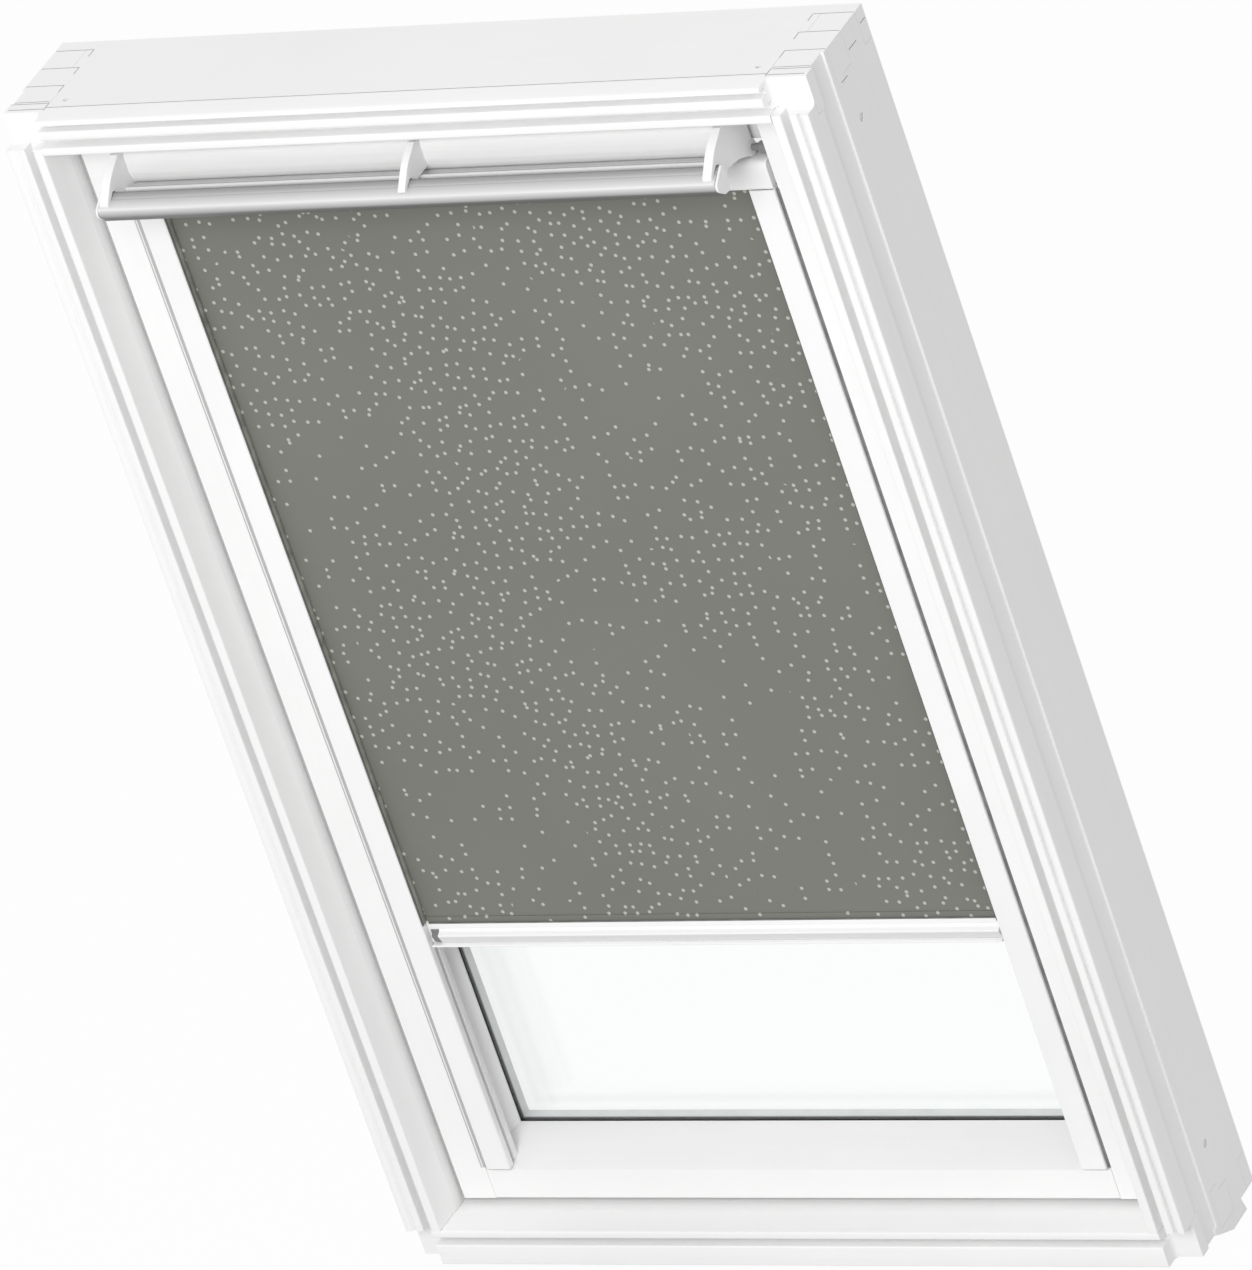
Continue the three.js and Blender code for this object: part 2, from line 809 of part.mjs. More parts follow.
function rightStile() {
  const bushBore = roundX(bushRadius + seatGap, stileSeatX - cutOverrun, bushEnd + seatGap, hingeY, hingeZ);
  let body = fullStile().subtract(bushBore);
  for (const z of channelScrewPlaces) body = body.subtract(channelScrewBore(z));
  const screwEnd = sashHalf - pivotScrewLength;
  for (const z of pivotScrewPlaces) body = body.subtract(pivotScrewBore(screwEnd, sashHalf + cutOverrun, z));
  return body;
}

// Section of a rail: height in from its outer edge, and Y.
function railSection(faceY) {
  const lip = railFaceHeight + revealSlope;
  const setback = (faceY - sashFaceY) / revealDepth;
  return [
    [0, faceY, timberRound],
    [railFaceHeight + setback * revealSlope, faceY],
    [lip, lipY - lipEdge],
    [lip, lipY],
    [lip - glassRebate, lipY],
    [lip - glassRebate, sashBackY - backChamferDepth],
    [lip - glassRebate - backChamferWidth, sashBackY],
    [0, sashBackY],
  ];
}

// A cross piece coped over the section of the stiles.
function coped(body) {
  return body.subtract(pair(fullStile().translate([-seatGap, 0, 0])));
}

function fullBottomRail() {
  const section = railSection(sashFaceY).map(([u, y, round]) => [y, sashBottomZ + u, round]);
  return alongX(section, -stileFaceX, stileFaceX);
}

function topRail() {
  const section = railSection(topRailFaceY).map(([u, y, round]) => [y, sashTopZ - u, round]);
  const rail = coped(alongX(section, -stileFaceX, stileFaceX));
  const width = lockCaseWidth + seatGap + seatGap;
  const depth = lockCaseDepth + seatGap + seatGap;
  const floor = sashTopZ - lockCaseHeight - seatGap;
  return rail.subtract(centredBlock(width, boltY, depth, floor, sashTopZ + cutOverrun));
}

addPair('sash_stile', rightStile(), timberFinish);
addPart('sash_top_rail', topRail(), timberFinish);
addPart('sash_bottom_rail', coped(fullBottomRail()), timberFinish);

// Glazing

function pane(y) {
  return block(-paneHalf, paneHalf, y, y + paneThickness, paneBottomZ, paneTopZ);
}

// A flat border that follows the edge of the panes.
function border(width, y, thickness) {
  const back = y + thickness;
  const outer = block(-paneHalf, paneHalf, y, back, paneBottomZ, paneTopZ);
  const half = paneHalf - width;
  const inner = block(-half, half, y - cutOverrun, back + cutOverrun, paneBottomZ + width, paneTopZ - width);
  return outer.subtract(inner);
}

// Setting blocks that carry the weight of the panes on the bottom rail.
function settingBlock() {
  const floor = bottomLipZ - glassRebate + seatGap;
  const end = paneHalf - blockInset;
  return block(end - blockLength, end, innerPaneY, innerPaneY + blockWidth, floor, paneBottomZ - seatGap);
}

addPart('glass_inner_pane', pane(innerPaneY), glassFinish);
addPart('glass_outer_pane', pane(outerPaneY), glassFinish);
addPart('glass_spacer', border(spacerWidth, spacerY, spacerThickness), spacerFinish);
addPart('glazing_seal', border(sealPadWidth, lipY + seatGap, sealPadThickness), rubberFinish);
addPair('glazing_block', settingBlock(), rubberFinish);

// Outside covers: folded sheet from the sash edge over to the glass

const coverFoldInset = coverEdgeInset + coverFlat;

// Distance in from the sash edge of a cover's tip on the glass.
function coverTip(lipReach) {
  return lipReach - glassRebate + paneEdgeGap + coverTipOverlap;
}

// Section of a cover: distance in from the edge of the sash, and Y.
function coverSection(lipReach) {
  const tip = coverTip(lipReach);
  const foot = sashBackY + seatGap;
  const tipY = glassBackY + seatGap;
  const under = coverBackY - coverThickness;
  return [
    [coverEdgeInset, foot],
    [coverEdgeInset, coverBackY],
    [coverFoldInset, coverBackY],
    [tip + coverThickness, tipY],
    [tip, tipY],
    [coverFoldInset - coverThickness, under],
    [coverEdgeInset + coverThickness, under],
    [coverEdgeInset + coverThickness, foot],
  ];
}

// The room, from the sash edge inwards, that a cover takes at the ends of its neighbours.
function coverRoom(lipReach) {
  const fold = coverFoldInset + seatGap;
  const tip = coverTip(lipReach) + coverThickness + seatGap;
  const back = coverBackY + cutOverrun;
  return [[-cutOverrun, back], [fold, back], [fold, coverBackY], [tip, glassBackY], [-cutOverrun, glassBackY]];
}

const stileLipReach = sashHalf - lipX;
const railLipReach = railFaceHeight + revealSlope;

// A section of a cross cover or its room, laid out from one end of the sash.
function crossShape(section, endZ, direction, reach) {
  return alongX(section.map(([u, y]) => [y, endZ + direction * u]), -reach, reach);
}

function rightCover() {
  const section = coverSection(stileLipReach).map(([u, y]) => [sashHalf - u, y]);
  const fold = sashHalf - coverFoldInset;
  const topRoom = crossShape(coverRoom(railLipReach), sashTopZ, -1, fold);
  const bottomRoom = crossShape(coverRoom(railLipReach), sashBottomZ, 1, fold);
  const cover = alongZ(section, sashBottomZ + coverEdgeInset, sashTopZ - coverEdgeInset);
  return cover.subtract(topRoom).subtract(bottomRoom);
}

function crossCover(endZ, direction) {
  const room = coverRoom(stileLipReach).map(([u, y]) => [sashHalf - u, y]);
  const cover = crossShape(coverSection(railLipReach), endZ, direction, sashHalf - coverEdgeInset);
  return cover.subtract(pair(alongZ(room, 0, frameHeight)));
}

addPair('sash_cover', rightCover(), coverFinish);
addPart('sash_cover_top', crossCover(sashTopZ, -1), coverFinish);
addPart('sash_cover_bottom', crossCover(sashBottomZ, 1), coverFinish);

// Centre pivot: a plate with a pin on the sash, a plate with a boss on the frame

// A plate between x and its thickness, with the screws that hold it drawn tight; the
// screw heads lie on the face at headX and the shanks run the other way.
function pivotPlate(x, headX, direction) {
  const half = pivotPlateLength * halfShare;
  const depth = pivotPlateDepth * halfShare;
  const section = [
    [pivotY - depth, pivotZ - half, depth], [pivotY + depth, pivotZ - half, depth],
    [pivotY + depth, pivotZ + half, depth], [pivotY - depth, pivotZ + half, depth],
  ];
  const top = headX + direction * pivotScrewHead;
  const under = headX - direction * pivotPlateThickness * halfShare;
  const end = headX - direction * pivotScrewLength;
  const screws = pivotScrewPlaces.map((z) => {
    const head = roundX(pivotScrewHeadRadius, Math.min(under, top), Math.max(under, top), pivotY, z, smallSides);
    const shank = roundX(pivotScrewRadius, Math.min(under, end), Math.max(under, end), pivotY, z, smallSides);
    return head.add(shank);
  });
  return alongX(section, x, x + pivotPlateThickness).add(joined(screws));
}

function sashPivot() {
  const face = sashPlateX + pivotPlateThickness;
  const pinStart = sashPlateX + pivotPlateThickness * halfShare;
  const pin = roundX(pinRadius, pinStart, jambRebateX + pinReach, pivotY, pivotZ);
  return pivotPlate(sashPlateX, face, 1).add(pin);
}

function framePivot() {
  const start = sashPlateX + pivotPlateThickness + pivotBossGap;
  const end = framePlateX + pivotPlateThickness;
  const boss = roundX(pivotBossRadius, start, end, pivotY, pivotZ);
  const bore = roundX(boreRadius(pinRadius), start - cutOverrun, end + cutOverrun, pivotY, pivotZ);
  return pivotPlate(framePlateX, framePlateX, -1).add(boss).subtract(bore);
}

addPair('sash_pivot', sashPivot(), steelFinish);
addPair('frame_pivot', framePivot(), steelFinish);

// Lock: a case let into the top rail, its bolt, and the strike plate under the head

const boltFootZ = boltTopZ - boltLength;

function lockCase() {
  const body = centredBlock(lockCaseWidth, boltY, lockCaseDepth, sashTopZ - lockCaseHeight, sashTopZ);
  const width = boltWidth + seatGap + seatGap;
  const depth = boltThickness + seatGap + seatGap;
  return body.subtract(centredBlock(width, boltY, depth, boltFootZ - seatGap, sashTopZ + cutOverrun));
}

function strikePlate() {
  const top = headInnerZ - seatGap;
  const under = top - strikeThickness;
  const plate = centredBlock(strikeWidth, strikeFrontY + strikeDepth * halfShare, strikeDepth, under, top);
  return plate.subtract(centredBlock(strikeSlotWidth, boltY, strikeSlotDepth, under - cutOverrun, top + cutOverrun));
}

function airFilter() {
  const top = sashTopZ - filterDrop;
  const middle = topRailFaceY - seatGap - filterThickness * halfShare;
  return centredBlock(filterWidth, middle, filterThickness, top - filterHeight, top);
}

addPart('lock_case', lockCase(), steelFinish);
addPart('lock_bolt', centredBlock(boltWidth, boltY, boltThickness, boltFootZ, boltTopZ), steelFinish);
addPart('strike_plate', strikePlate(), steelFinish);
addPart('air_filter', airFilter(), foamFinish);

// Ventilation flap: a hollow roll that sweeps out below to a thin drip lip

const flapSection = [
  [flapBackY, flapTopRise],
  [flapTopFaceY, flapTopRise, flapRound],
  [flapFaceY, flapBellyRise, flapRound],
  [flapFootY, flapFootRise, flapSkin],
  [flapLipY, flapLipRise],
  [flapLipY, flapLipRise - flapLipThickness],
  [flapUnderY, flapUnderRise, flapSkin],
  [flapBackY, flapUnderRise],
];

const flapCore = [
  [flapBackY - flapSkin, flapTopRise - flapSkin],
  [flapTopFaceY + flapSkin, flapTopRise - flapSkin],
  [flapFaceY + flapSkin + flapSkin, flapBellyRise],
  [flapFootY + flapSkin + flapSkin, flapFootRise],
  [flapUnderY + flapSkin, flapUnderRise + flapSkin],
  [flapBackY - flapSkin, flapUnderRise + flapSkin],
];

const flapReach = flapHalf + cutOverrun;

function ventFlap() {
  return hungAlongX(flapSection, -flapHalf, flapHalf).subtract(hungAlongX(flapCore, -flapReach, flapReach));
}

function flapGasket() {
  const top = hingeZ + flapTopRise - gasketDrop;
  const y = flapBackY + seatGap;
  return block(-flapHalf, flapHalf, y, y + gasketThickness, top - gasketHeight, top);
}

addPart('vent_flap', ventFlap(), timberFinish);
addPart('flap_gasket', flapGasket(), foamFinish);

// Control bar: a hollow extrusion held in the noses of the brackets

function barSection(inset) {
  return [
    [barRidgeY, barRidgeRise - inset, barRound - inset],
    [barFrontY + inset, barFrontTopRise - inset, barRound - inset],
    [barFrontY + inset, barFrontBottomRise + inset, barRound - inset],
    [barUnderY, barUnderRise + inset],
    [barHeelY, barHeelRise + inset],
    [barBackY - inset, barBackBottomRise],
    [barBackY - inset, barBackTopRise - inset],
  ];
}

const barReach = barHalfLength + cutOverrun;

function controlBar() {
  const core = hungAlongX(barSection(barWall), -barReach, barReach);
  return hungAlongX(barSection(0), -barHalfLength, barHalfLength).subtract(core);
}

function barEndCap() {
  const face = barHalfLength + seatGap;
  const plug = hungAlongX(barSection(barWall + seatGap), face - capPlug, face + capThickness * halfShare);
  return hungAlongX(barSection(0), face, face + capThickness).add(plug);
}

addPart('control_bar', controlBar(), barFinish);
addPair('bar_end_cap', barEndCap(), barFinish);

// Brackets that join the flap, the bar and the hinge

// The front edge, shared by all brackets, from the flap down to the nose.
const bracketFront = [
  [bracketTopY, bracketTopRise],
  [bracketWaistY, bracketWaistRise, flapRound],
  [bracketTipY, bracketTipRise, barRound],
];

// The room that the bar takes inside the brackets' noses.
const barRoom = hungAlongX(barSection(-seatGap), -barReach, barReach);

function middleBracket() {
  const section = [
    ...bracketFront,
    [barRidgeY, barFrontTopRise],
    [bracketArchY, middleArchRise],
    [bracketRootY, middleArchRise],
    [bracketRootY, bracketRootRise],
  ];
  const half = middleBracketWidth * halfShare;
  const flap = hungAlongX(flapSection, -flapReach, flapReach);
  const flapRoom = flap.translate([0, -seatGap, 0]).add(flap.translate([0, 0, seatGap]));
  return hungAlongX(section, -half, half).subtract(barRoom).subtract(flapRoom);
}

function endBracket() {
  const section = [
    ...bracketFront,
    [bracketTuckY, barFrontBottomRise],
    [barHeelY, barBackBottomRise],
    [bracketHeelY, bracketHeelRise, barWall],
    [bracketArchY, endArchRise, flapRound],
    [bracketArmY, bracketArmRise],
    [hingeY - hubRadius, -hubRadius * halfShare],
    [hingeY, 0],
    [flapBackY, flapUnderRise],
    [flapBackY, bracketBackRise, flapRound],
  ];
  const hub = roundX(hubRadius, endBracketInner, endBracketOuter, hingeY, hingeZ);
  return hungAlongX(section, endBracketInner, endBracketOuter).add(hub).subtract(barRoom);
}

function flapBush() {
  const bore = roundX(boreRadius(hingePinRadius), bushStart - cutOverrun, hingePinEnd + seatGap, hingeY, hingeZ);
  return roundX(bushRadius, bushStart, bushEnd, hingeY, hingeZ).subtract(bore);
}

const hingePin = roundX(hingePinRadius, endBracketOuter + seatGap, hingePinEnd, hingeY, hingeZ);

addPair('flap_bracket', endBracket(), plasticFinish);
addPart('flap_bracket_middle', middleBracket(), plasticFinish);
addPair('flap_hinge_pin', hingePin, steelFinish);
addPair('flap_bush', flapBush(), plasticFinish);

// Blind casing: a shell with a slot below, coped over the stiles

function casingSection(inset) {
  const front = blindFaceY + inset;
  const back = casingBackY - inset;
  const top = casingTopZ - inset;
  const bottom = casingBottomZ + inset;
  return [
    [front, bottom, casingBottomRound - inset * halfShare],
    [back, bottom],
    [back, top],
    [front, top, casingTopRound - inset * halfShare],
  ];
}

function casing() {
  const reach = blindHalfWidth + cutOverrun;
  const floor = casingBottomZ - cutOverrun;
  const slot = block(-reach, reach, slotY, slotY + casingSlot, floor, casingBottomZ + cutOverrun);
  const shell = alongX(casingSection(0), -blindHalfWidth, blindHalfWidth);
  return coped(shell.subtract(alongX(casingSection(casingWall), -reach, reach)).subtract(slot));
}

function casingEndPlate() {
  const end = endPlateX + endPlateThickness;
  const bore = roundX(boreRadius(shaftRadius), endPlateX - cutOverrun, end + cutOverrun, rollerY, rollerZ);
  return alongX(casingSection(casingWall + seatGap), endPlateX, end).subtract(bore);
}

addPart('blind_casing', casing(), whiteMetalFinish);
addPair('casing_end_plate', casingEndPlate(), plasticFinish);

// Side channels: a slot for the fabric's edge between two hollow chambers

function channelSection() {
  const back = blindFaceY + channelDepth;
  const slotBack = slotY + channelSlot;
  return [
    [channelInnerX, blindFaceY, channelRound],
    [blindHalfWidth, blindFaceY, channelRound],
    [blindHalfWidth, back],
    [channelInnerX, back, channelRound],
    [channelInnerX, slotBack],
    [channelWebX, slotBack],
    [channelWebX, slotY],
    [channelInnerX, slotY],
  ];
}

function chamber(y0, y1) {
  const wall = channelWall;
  const bottom = channelBottomZ - cutOverrun;
  return block(channelInnerX + wall, blindHalfWidth - wall, y0 + wall, y1 - wall, bottom, channelTopZ + cutOverrun);
}

function channel() {
  let body = alongZ(channelSection(), channelBottomZ, channelTopZ);
  body = body.subtract(chamber(blindFaceY, slotY));
  body = body.subtract(chamber(slotY + channelSlot, blindFaceY + channelDepth));
  body = body.subtract(fullBottomRail().translate([0, 0, seatGap]));
  return body.add(joined(channelScrewPlaces.map(channelScrew)));
}

addPair('blind_channel', channel(), whiteMetalFinish);

// Roller: tube, plugs with shaft stubs, spring cassette and the rolled fabric

// A sleeve around the roller's axis.
function sleeve(outer, inner) {
  const reach = rollerHalf + cutOverrun;
  const bore = roundX(inner, -reach, reach, rollerY, rollerZ);
  return roundX(outer, -rollerHalf, rollerHalf, rollerY, rollerZ).subtract(bore);
}

const tubeBore = tubeRadius - tubeWall;

function rollerPlug() {
  const face = rollerHalf + seatGap;
  const flange = roundX(tubeRadius, face, face + plugFlange, rollerY, rollerZ);
  const body = roundX(tubeBore - seatGap, face - plugLength, face, rollerY, rollerZ);
  const shaft = roundX(shaftRadius, face, endPlateX + endPlateThickness, rollerY, rollerZ);
  return flange.add(body).add(shaft);
}

// The spring cassette fills the tube behind the right-hand plug, keyed by a flute.
function springCassette() {
  const end = rollerHalf - plugLength;
  const start = end - cassetteLength;
  const radius = tubeBore - seatGap;
  const flute = roundX(cassetteFlute, start - cutOverrun, end + cutOverrun, rollerY, rollerZ + radius, smallSides);
  return roundX(radius, start, end, rollerY, rollerZ).subtract(flute);
}

addPart('blind_roller_tube', sleeve(tubeRadius, tubeBore), barFinish);
addPart('blind_fabric_roll', sleeve(rollRadius, tubeRadius + seatGap), fabricFinish);
addPair('roller_plug', rollerPlug(), plasticFinish);
addPart('roller_spring_cassette', springCassette(), plasticFinish);

// Fabric and bottom bar

function fabricSheet() {
  const half = fabricThickness * halfShare;
  return block(-fabricHalf, fabricHalf, fabricY - half, fabricY + half, bottomBarTopZ + seatGap, rollerZ);
}

// The hollow along the bottom bar, or, inset, the stub that fills it.
function barCore(x0, x1, inset) {
  const half = bottomBarCore * halfShare - inset;
  const top = bottomBarTopZ - bottomBarCoreDrop;
  return block(x0, x1, fabricY - half, fabricY + half, top - bottomBarCore + inset, top - inset);
}

function bottomBar() {
  const flangeTop = bottomBarZ + bottomBarFlange;
  const recessTop = flangeTop + bottomBarRecess;
  const lipBottom = bottomBarTopZ - bottomBarLip;
  const faceY = bottomBarFrontY + bottomBarLipStep;
  const recessY = bottomBarFrontY + bottomBarRecessDepth;
  const section = [
    [bottomBarBackY, bottomBarTopZ, bottomBarLipStep],
    [bottomBarFrontY, bottomBarTopZ, bottomBarLipStep],
    [bottomBarFrontY, lipBottom],
    [faceY, lipBottom],
    [faceY, recessTop],
    [recessY, recessTop],
    [recessY, flangeTop],
    [bottomBarFlangeY, flangeTop],
    [bottomBarFlangeY, bottomBarZ, bottomBarLipStep],
    [bottomBarBackY, bottomBarZ],
  ];
  const reach = bottomBarHalf + cutOverrun;
  return alongX(section, -bottomBarHalf, bottomBarHalf).subtract(barCore(-reach, reach, 0));
}

// A guide that runs in the slot of the channel.
function barGuide() {
  const face = bottomBarHalf + seatGap;
  const half = guideThickness * halfShare;
  const foot = bottomBarZ + guideInset;
  const tongue = block(face, fabricHalf, fabricY - half, fabricY + half, foot, bottomBarTopZ - guideInset);
  return tongue.add(barCore(face - guideStub, face + seatGap, seatGap));
}

addPart('blind_fabric', fabricSheet(), fabricFinish);
addPart('blind_bottom_bar', bottomBar(), whiteMetalFinish);
addPair('bar_guide', barGuide(), plasticFinish);

group.position.set(0, -(barFrontY + coverBackY) * halfShare, hornLength);

export default group;
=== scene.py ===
"""A white centre-pivot roof window with a blackout blind, dressed around its fixed frame.

Everything is in metres, +Z up, +X to the right seen from the room, -Y towards the room.
"""
import json
import math

import bmesh
import bpy
import numpy as np
from bpy.props import FloatProperty, FloatVectorProperty, IntProperty, PointerProperty
from mathutils import Matrix, Vector

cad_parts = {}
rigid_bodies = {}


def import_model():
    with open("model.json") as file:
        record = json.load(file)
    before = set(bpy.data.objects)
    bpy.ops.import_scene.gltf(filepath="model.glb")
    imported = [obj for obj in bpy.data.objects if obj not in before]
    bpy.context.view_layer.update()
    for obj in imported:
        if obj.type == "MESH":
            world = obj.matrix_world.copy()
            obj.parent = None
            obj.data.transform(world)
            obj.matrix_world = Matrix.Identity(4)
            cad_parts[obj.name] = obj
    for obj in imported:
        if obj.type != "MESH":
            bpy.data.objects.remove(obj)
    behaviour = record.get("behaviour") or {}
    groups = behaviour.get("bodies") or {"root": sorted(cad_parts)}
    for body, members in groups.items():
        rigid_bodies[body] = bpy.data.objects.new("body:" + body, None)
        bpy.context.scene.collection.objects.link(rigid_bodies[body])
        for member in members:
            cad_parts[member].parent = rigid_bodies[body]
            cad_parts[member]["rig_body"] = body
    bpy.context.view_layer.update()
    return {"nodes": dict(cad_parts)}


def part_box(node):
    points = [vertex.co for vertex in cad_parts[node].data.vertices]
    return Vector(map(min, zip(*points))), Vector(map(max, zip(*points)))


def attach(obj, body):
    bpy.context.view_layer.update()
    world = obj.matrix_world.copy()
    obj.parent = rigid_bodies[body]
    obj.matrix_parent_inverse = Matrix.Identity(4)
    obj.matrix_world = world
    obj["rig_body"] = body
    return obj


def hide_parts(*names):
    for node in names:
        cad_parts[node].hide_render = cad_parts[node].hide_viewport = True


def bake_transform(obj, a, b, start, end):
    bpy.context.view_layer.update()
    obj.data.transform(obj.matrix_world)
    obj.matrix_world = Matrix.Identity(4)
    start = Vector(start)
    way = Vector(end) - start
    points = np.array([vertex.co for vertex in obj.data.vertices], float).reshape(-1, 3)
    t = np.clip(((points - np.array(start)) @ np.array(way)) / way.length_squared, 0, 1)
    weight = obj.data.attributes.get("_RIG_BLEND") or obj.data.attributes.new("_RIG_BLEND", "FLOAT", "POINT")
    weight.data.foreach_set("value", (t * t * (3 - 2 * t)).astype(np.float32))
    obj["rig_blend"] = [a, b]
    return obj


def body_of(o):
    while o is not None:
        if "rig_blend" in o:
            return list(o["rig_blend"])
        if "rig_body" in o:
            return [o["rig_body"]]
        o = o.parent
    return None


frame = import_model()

bl_info = {
    "name": "Roof window with blackout blind",
    "version": (1, 0, 0),
    "blender": (4, 5, 0),
    "location": "View3D > Sidebar > Roof window",
    "description": "Dresses the fixed solids of a roof window and its blind",
    "category": "Object",
}

MM = 0.001
NODES = frame["nodes"]


# Settings that a user would change


def length(name, description, default, lowest=0.0):
    return FloatProperty(name=name, description=description, default=default, min=lowest,
                         subtype="DISTANCE", unit="LENGTH")


def tone(name, description, default):
    return FloatVectorProperty(name=name, description=description, subtype="COLOR", default=default)


def angle_in_degrees(name, description, default):
    return FloatProperty(name=name, description=description, subtype="ANGLE", default=math.radians(default))


class RoofWindowSizes(bpy.types.PropertyGroup):
    """Sizes of the details that are added to the solids."""

    timber_edge: length("Timber edge", "Width of the softened edges of the painted timber", 0.5 * MM)
    moulded_edge: length("Moulded edge", "Width of the softened edges of moulded and folded parts", 0.35 * MM)
    cloth_thickness: length("Cloth thickness", "Thickness of the blackout cloth", 0.4 * MM)
    dot_radius: length("Dot radius", "Radius of the pale dots on the cloth", 1.75 * MM)
    dot_pitch: length("Dot pitch", "Mean distance between neighbouring dots", 12.5 * MM, MM)
    arc_steps: IntProperty(
        name="Arc steps", description="Points on each rounded corner of a profile", default=7, min=2)


class RoofWindowColours(bpy.types.PropertyGroup):
    """Base colours of the finishes."""

    paint: tone("Paint", "White paint of the timber", (0.925, 0.925, 0.922))
    coated: tone("Coated metal", "White powder coat of the blind's profiles", (0.92, 0.92, 0.92))
    moulded: tone("Moulded plastic", "White moulded parts", (0.89, 0.89, 0.888))
    cloth: tone("Cloth", "Grey-green blackout cloth", (0.192, 0.193, 0.171))
    dots: tone("Dots", "Pale dots on the cloth", (0.5, 0.51, 0.46))
    bar: tone("Control bar", "Anodised control bar where it catches the light", (0.78, 0.78, 0.78))
    aluminium: tone("Aluminium", "Satin aluminium of the roller tube", (0.50, 0.505, 0.51))
    cover: tone("Covers", "Grey coated covers of the outer side", (0.075, 0.078, 0.082))
    steel: tone("Steel", "Zinc plated steel", (0.56, 0.57, 0.58))
    rubber: tone("Rubber", "Dark sealing strips", (0.035, 0.035, 0.036))
    spacer: tone("Spacer", "Steel spacer between the panes", (0.66, 0.67, 0.67))
    joint: tone("Joint line", "Grey of the filled joints in the paint", (0.33, 0.33, 0.335))


class RoofWindowStage(bpy.types.PropertyGroup):
    """Camera, light and floor."""

    azimuth: angle_in_degrees("Azimuth", "Camera's turn to the right of the room side", 34.8011)
    elevation: angle_in_degrees("Elevation", "Camera's height angle", 28.0089)
    roll: angle_in_degrees("Roll", "Camera's turn about its own view line", -19.3929)
    distance: length("Distance", "From the camera to its target", 11.432)
    target: FloatVectorProperty(
        name="Target", description="Point that the camera looks at", subtype="XYZ", unit="LENGTH",
        default=(-0.00213, 0.01404, 0.6275))
    lens: FloatProperty(
        name="Lens", description="Focal length for a 36 mm sensor", unit="CAMERA", default=379.095)
    ambient: FloatProperty(
        name="Ambient", description="Strength of the light from all round", default=0.69, min=0.0)
    key_power: FloatProperty(
        name="Key light", description="Power of the large lamp in front", unit="POWER",
        default=160.0, min=0.0)
    floor_size: length("Floor", "Side of the square floor", 60.0)


SETTINGS = (
    ("roof_window_sizes", RoofWindowSizes),
    ("roof_window_colours", RoofWindowColours),
    ("roof_window_stage", RoofWindowStage),
)


def sizes():
    return bpy.context.scene.roof_window_sizes


def colours():
    return bpy.context.scene.roof_window_colours


# Outlines and surfaces as whole arrays


def rounded_outline(y, z, corners, radii):
    """A closed outline in Y and Z whose corners are arcs.

    Corners count from the point (y, z), and corners and radii are in millimetres.

    At each corner the two edge directions and the radius give the tangent points and the
    centre; the arc is the circular interpolation between the tangent points' arms.
    Corners of radius 0 give one point.
    """
    corner = np.array([y, z]) + np.asarray(corners, float) * MM
    radius = np.asarray(radii, float)[:, None] * MM
    before = np.roll(corner, 1, 0) - corner
    after = np.roll(corner, -1, 0) - corner
    before /= np.linalg.norm(before, axis=1, keepdims=True)
    after /= np.linalg.norm(after, axis=1, keepdims=True)
    half = np.arccos(np.clip((before * after).sum(1, keepdims=True), -1, 1)) / 2
    reach = radius / np.tan(half)
    bisector = before + after
    bisector /= np.linalg.norm(bisector, axis=1, keepdims=True) + 1e-12
    centre = corner + bisector * radius / np.sin(half)
    arm_in = corner + before * reach - centre
    arm_out = corner + after * reach - centre
    sweep = (math.pi - 2 * half)[:, None]
    t = np.linspace(0, 1, sizes().arc_steps)[None, :, None]
    swing = np.sin((1 - t) * sweep) * arm_in[:, None] + np.sin(t * sweep) * arm_out[:, None]
    points = (centre[:, None] + swing / np.sin(sweep)).reshape(-1, 2)
    apart = np.linalg.norm(np.roll(points, -1, 0) - points, axis=1) > 1e-7
    return points[apart]


def mesh_object(name, points, faces, uv=None):
    mesh = bpy.data.meshes.new(name)
    mesh.from_pydata(points.reshape(-1, 3).tolist(), [], faces)
    mesh.validate()
    if uv is not None:
        layer = mesh.uv_layers.new(name="Surface")
        corners = np.empty(len(mesh.loops), np.int32)
        mesh.loops.foreach_get("vertex_index", corners)
        layer.data.foreach_set("uv", uv.reshape(-1, 2)[corners].astype(np.float32).ravel())
    piece = bpy.data.objects.new(name, mesh)
    bpy.context.scene.collection.objects.link(piece)
    return piece


def grid_faces(rows, columns, closed):
    """Index quads of a grid whose columns may close on themselves."""
    across = columns if closed else columns - 1
    row, column = np.meshgrid(np.arange(rows - 1), np.arange(across), indexing="ij")
    ahead = (column + 1) % columns
    quads = np.stack([row * columns + column, row * columns + ahead,
                      (row + 1) * columns + ahead, (row + 1) * columns + column], -1)
    return quads.reshape(-1, 4).tolist()


def smooth(piece, angle=35):
    """Smooth shading that stays sharp across edges steeper than the angle."""
    piece.data.shade_smooth()
    piece.data.set_sharp_from_angle(angle=math.radians(angle))
    return piece


def face_out(piece):
    """Turns every face of a closed piece outwards, after its doubles are merged."""
    body = bmesh.new()
    body.from_mesh(piece.data)
    bmesh.ops.remove_doubles(body, verts=body.verts, dist=1e-6)
    bmesh.ops.recalc_face_normals(body, faces=body.faces)
    body.to_mesh(piece.data)
    body.free()


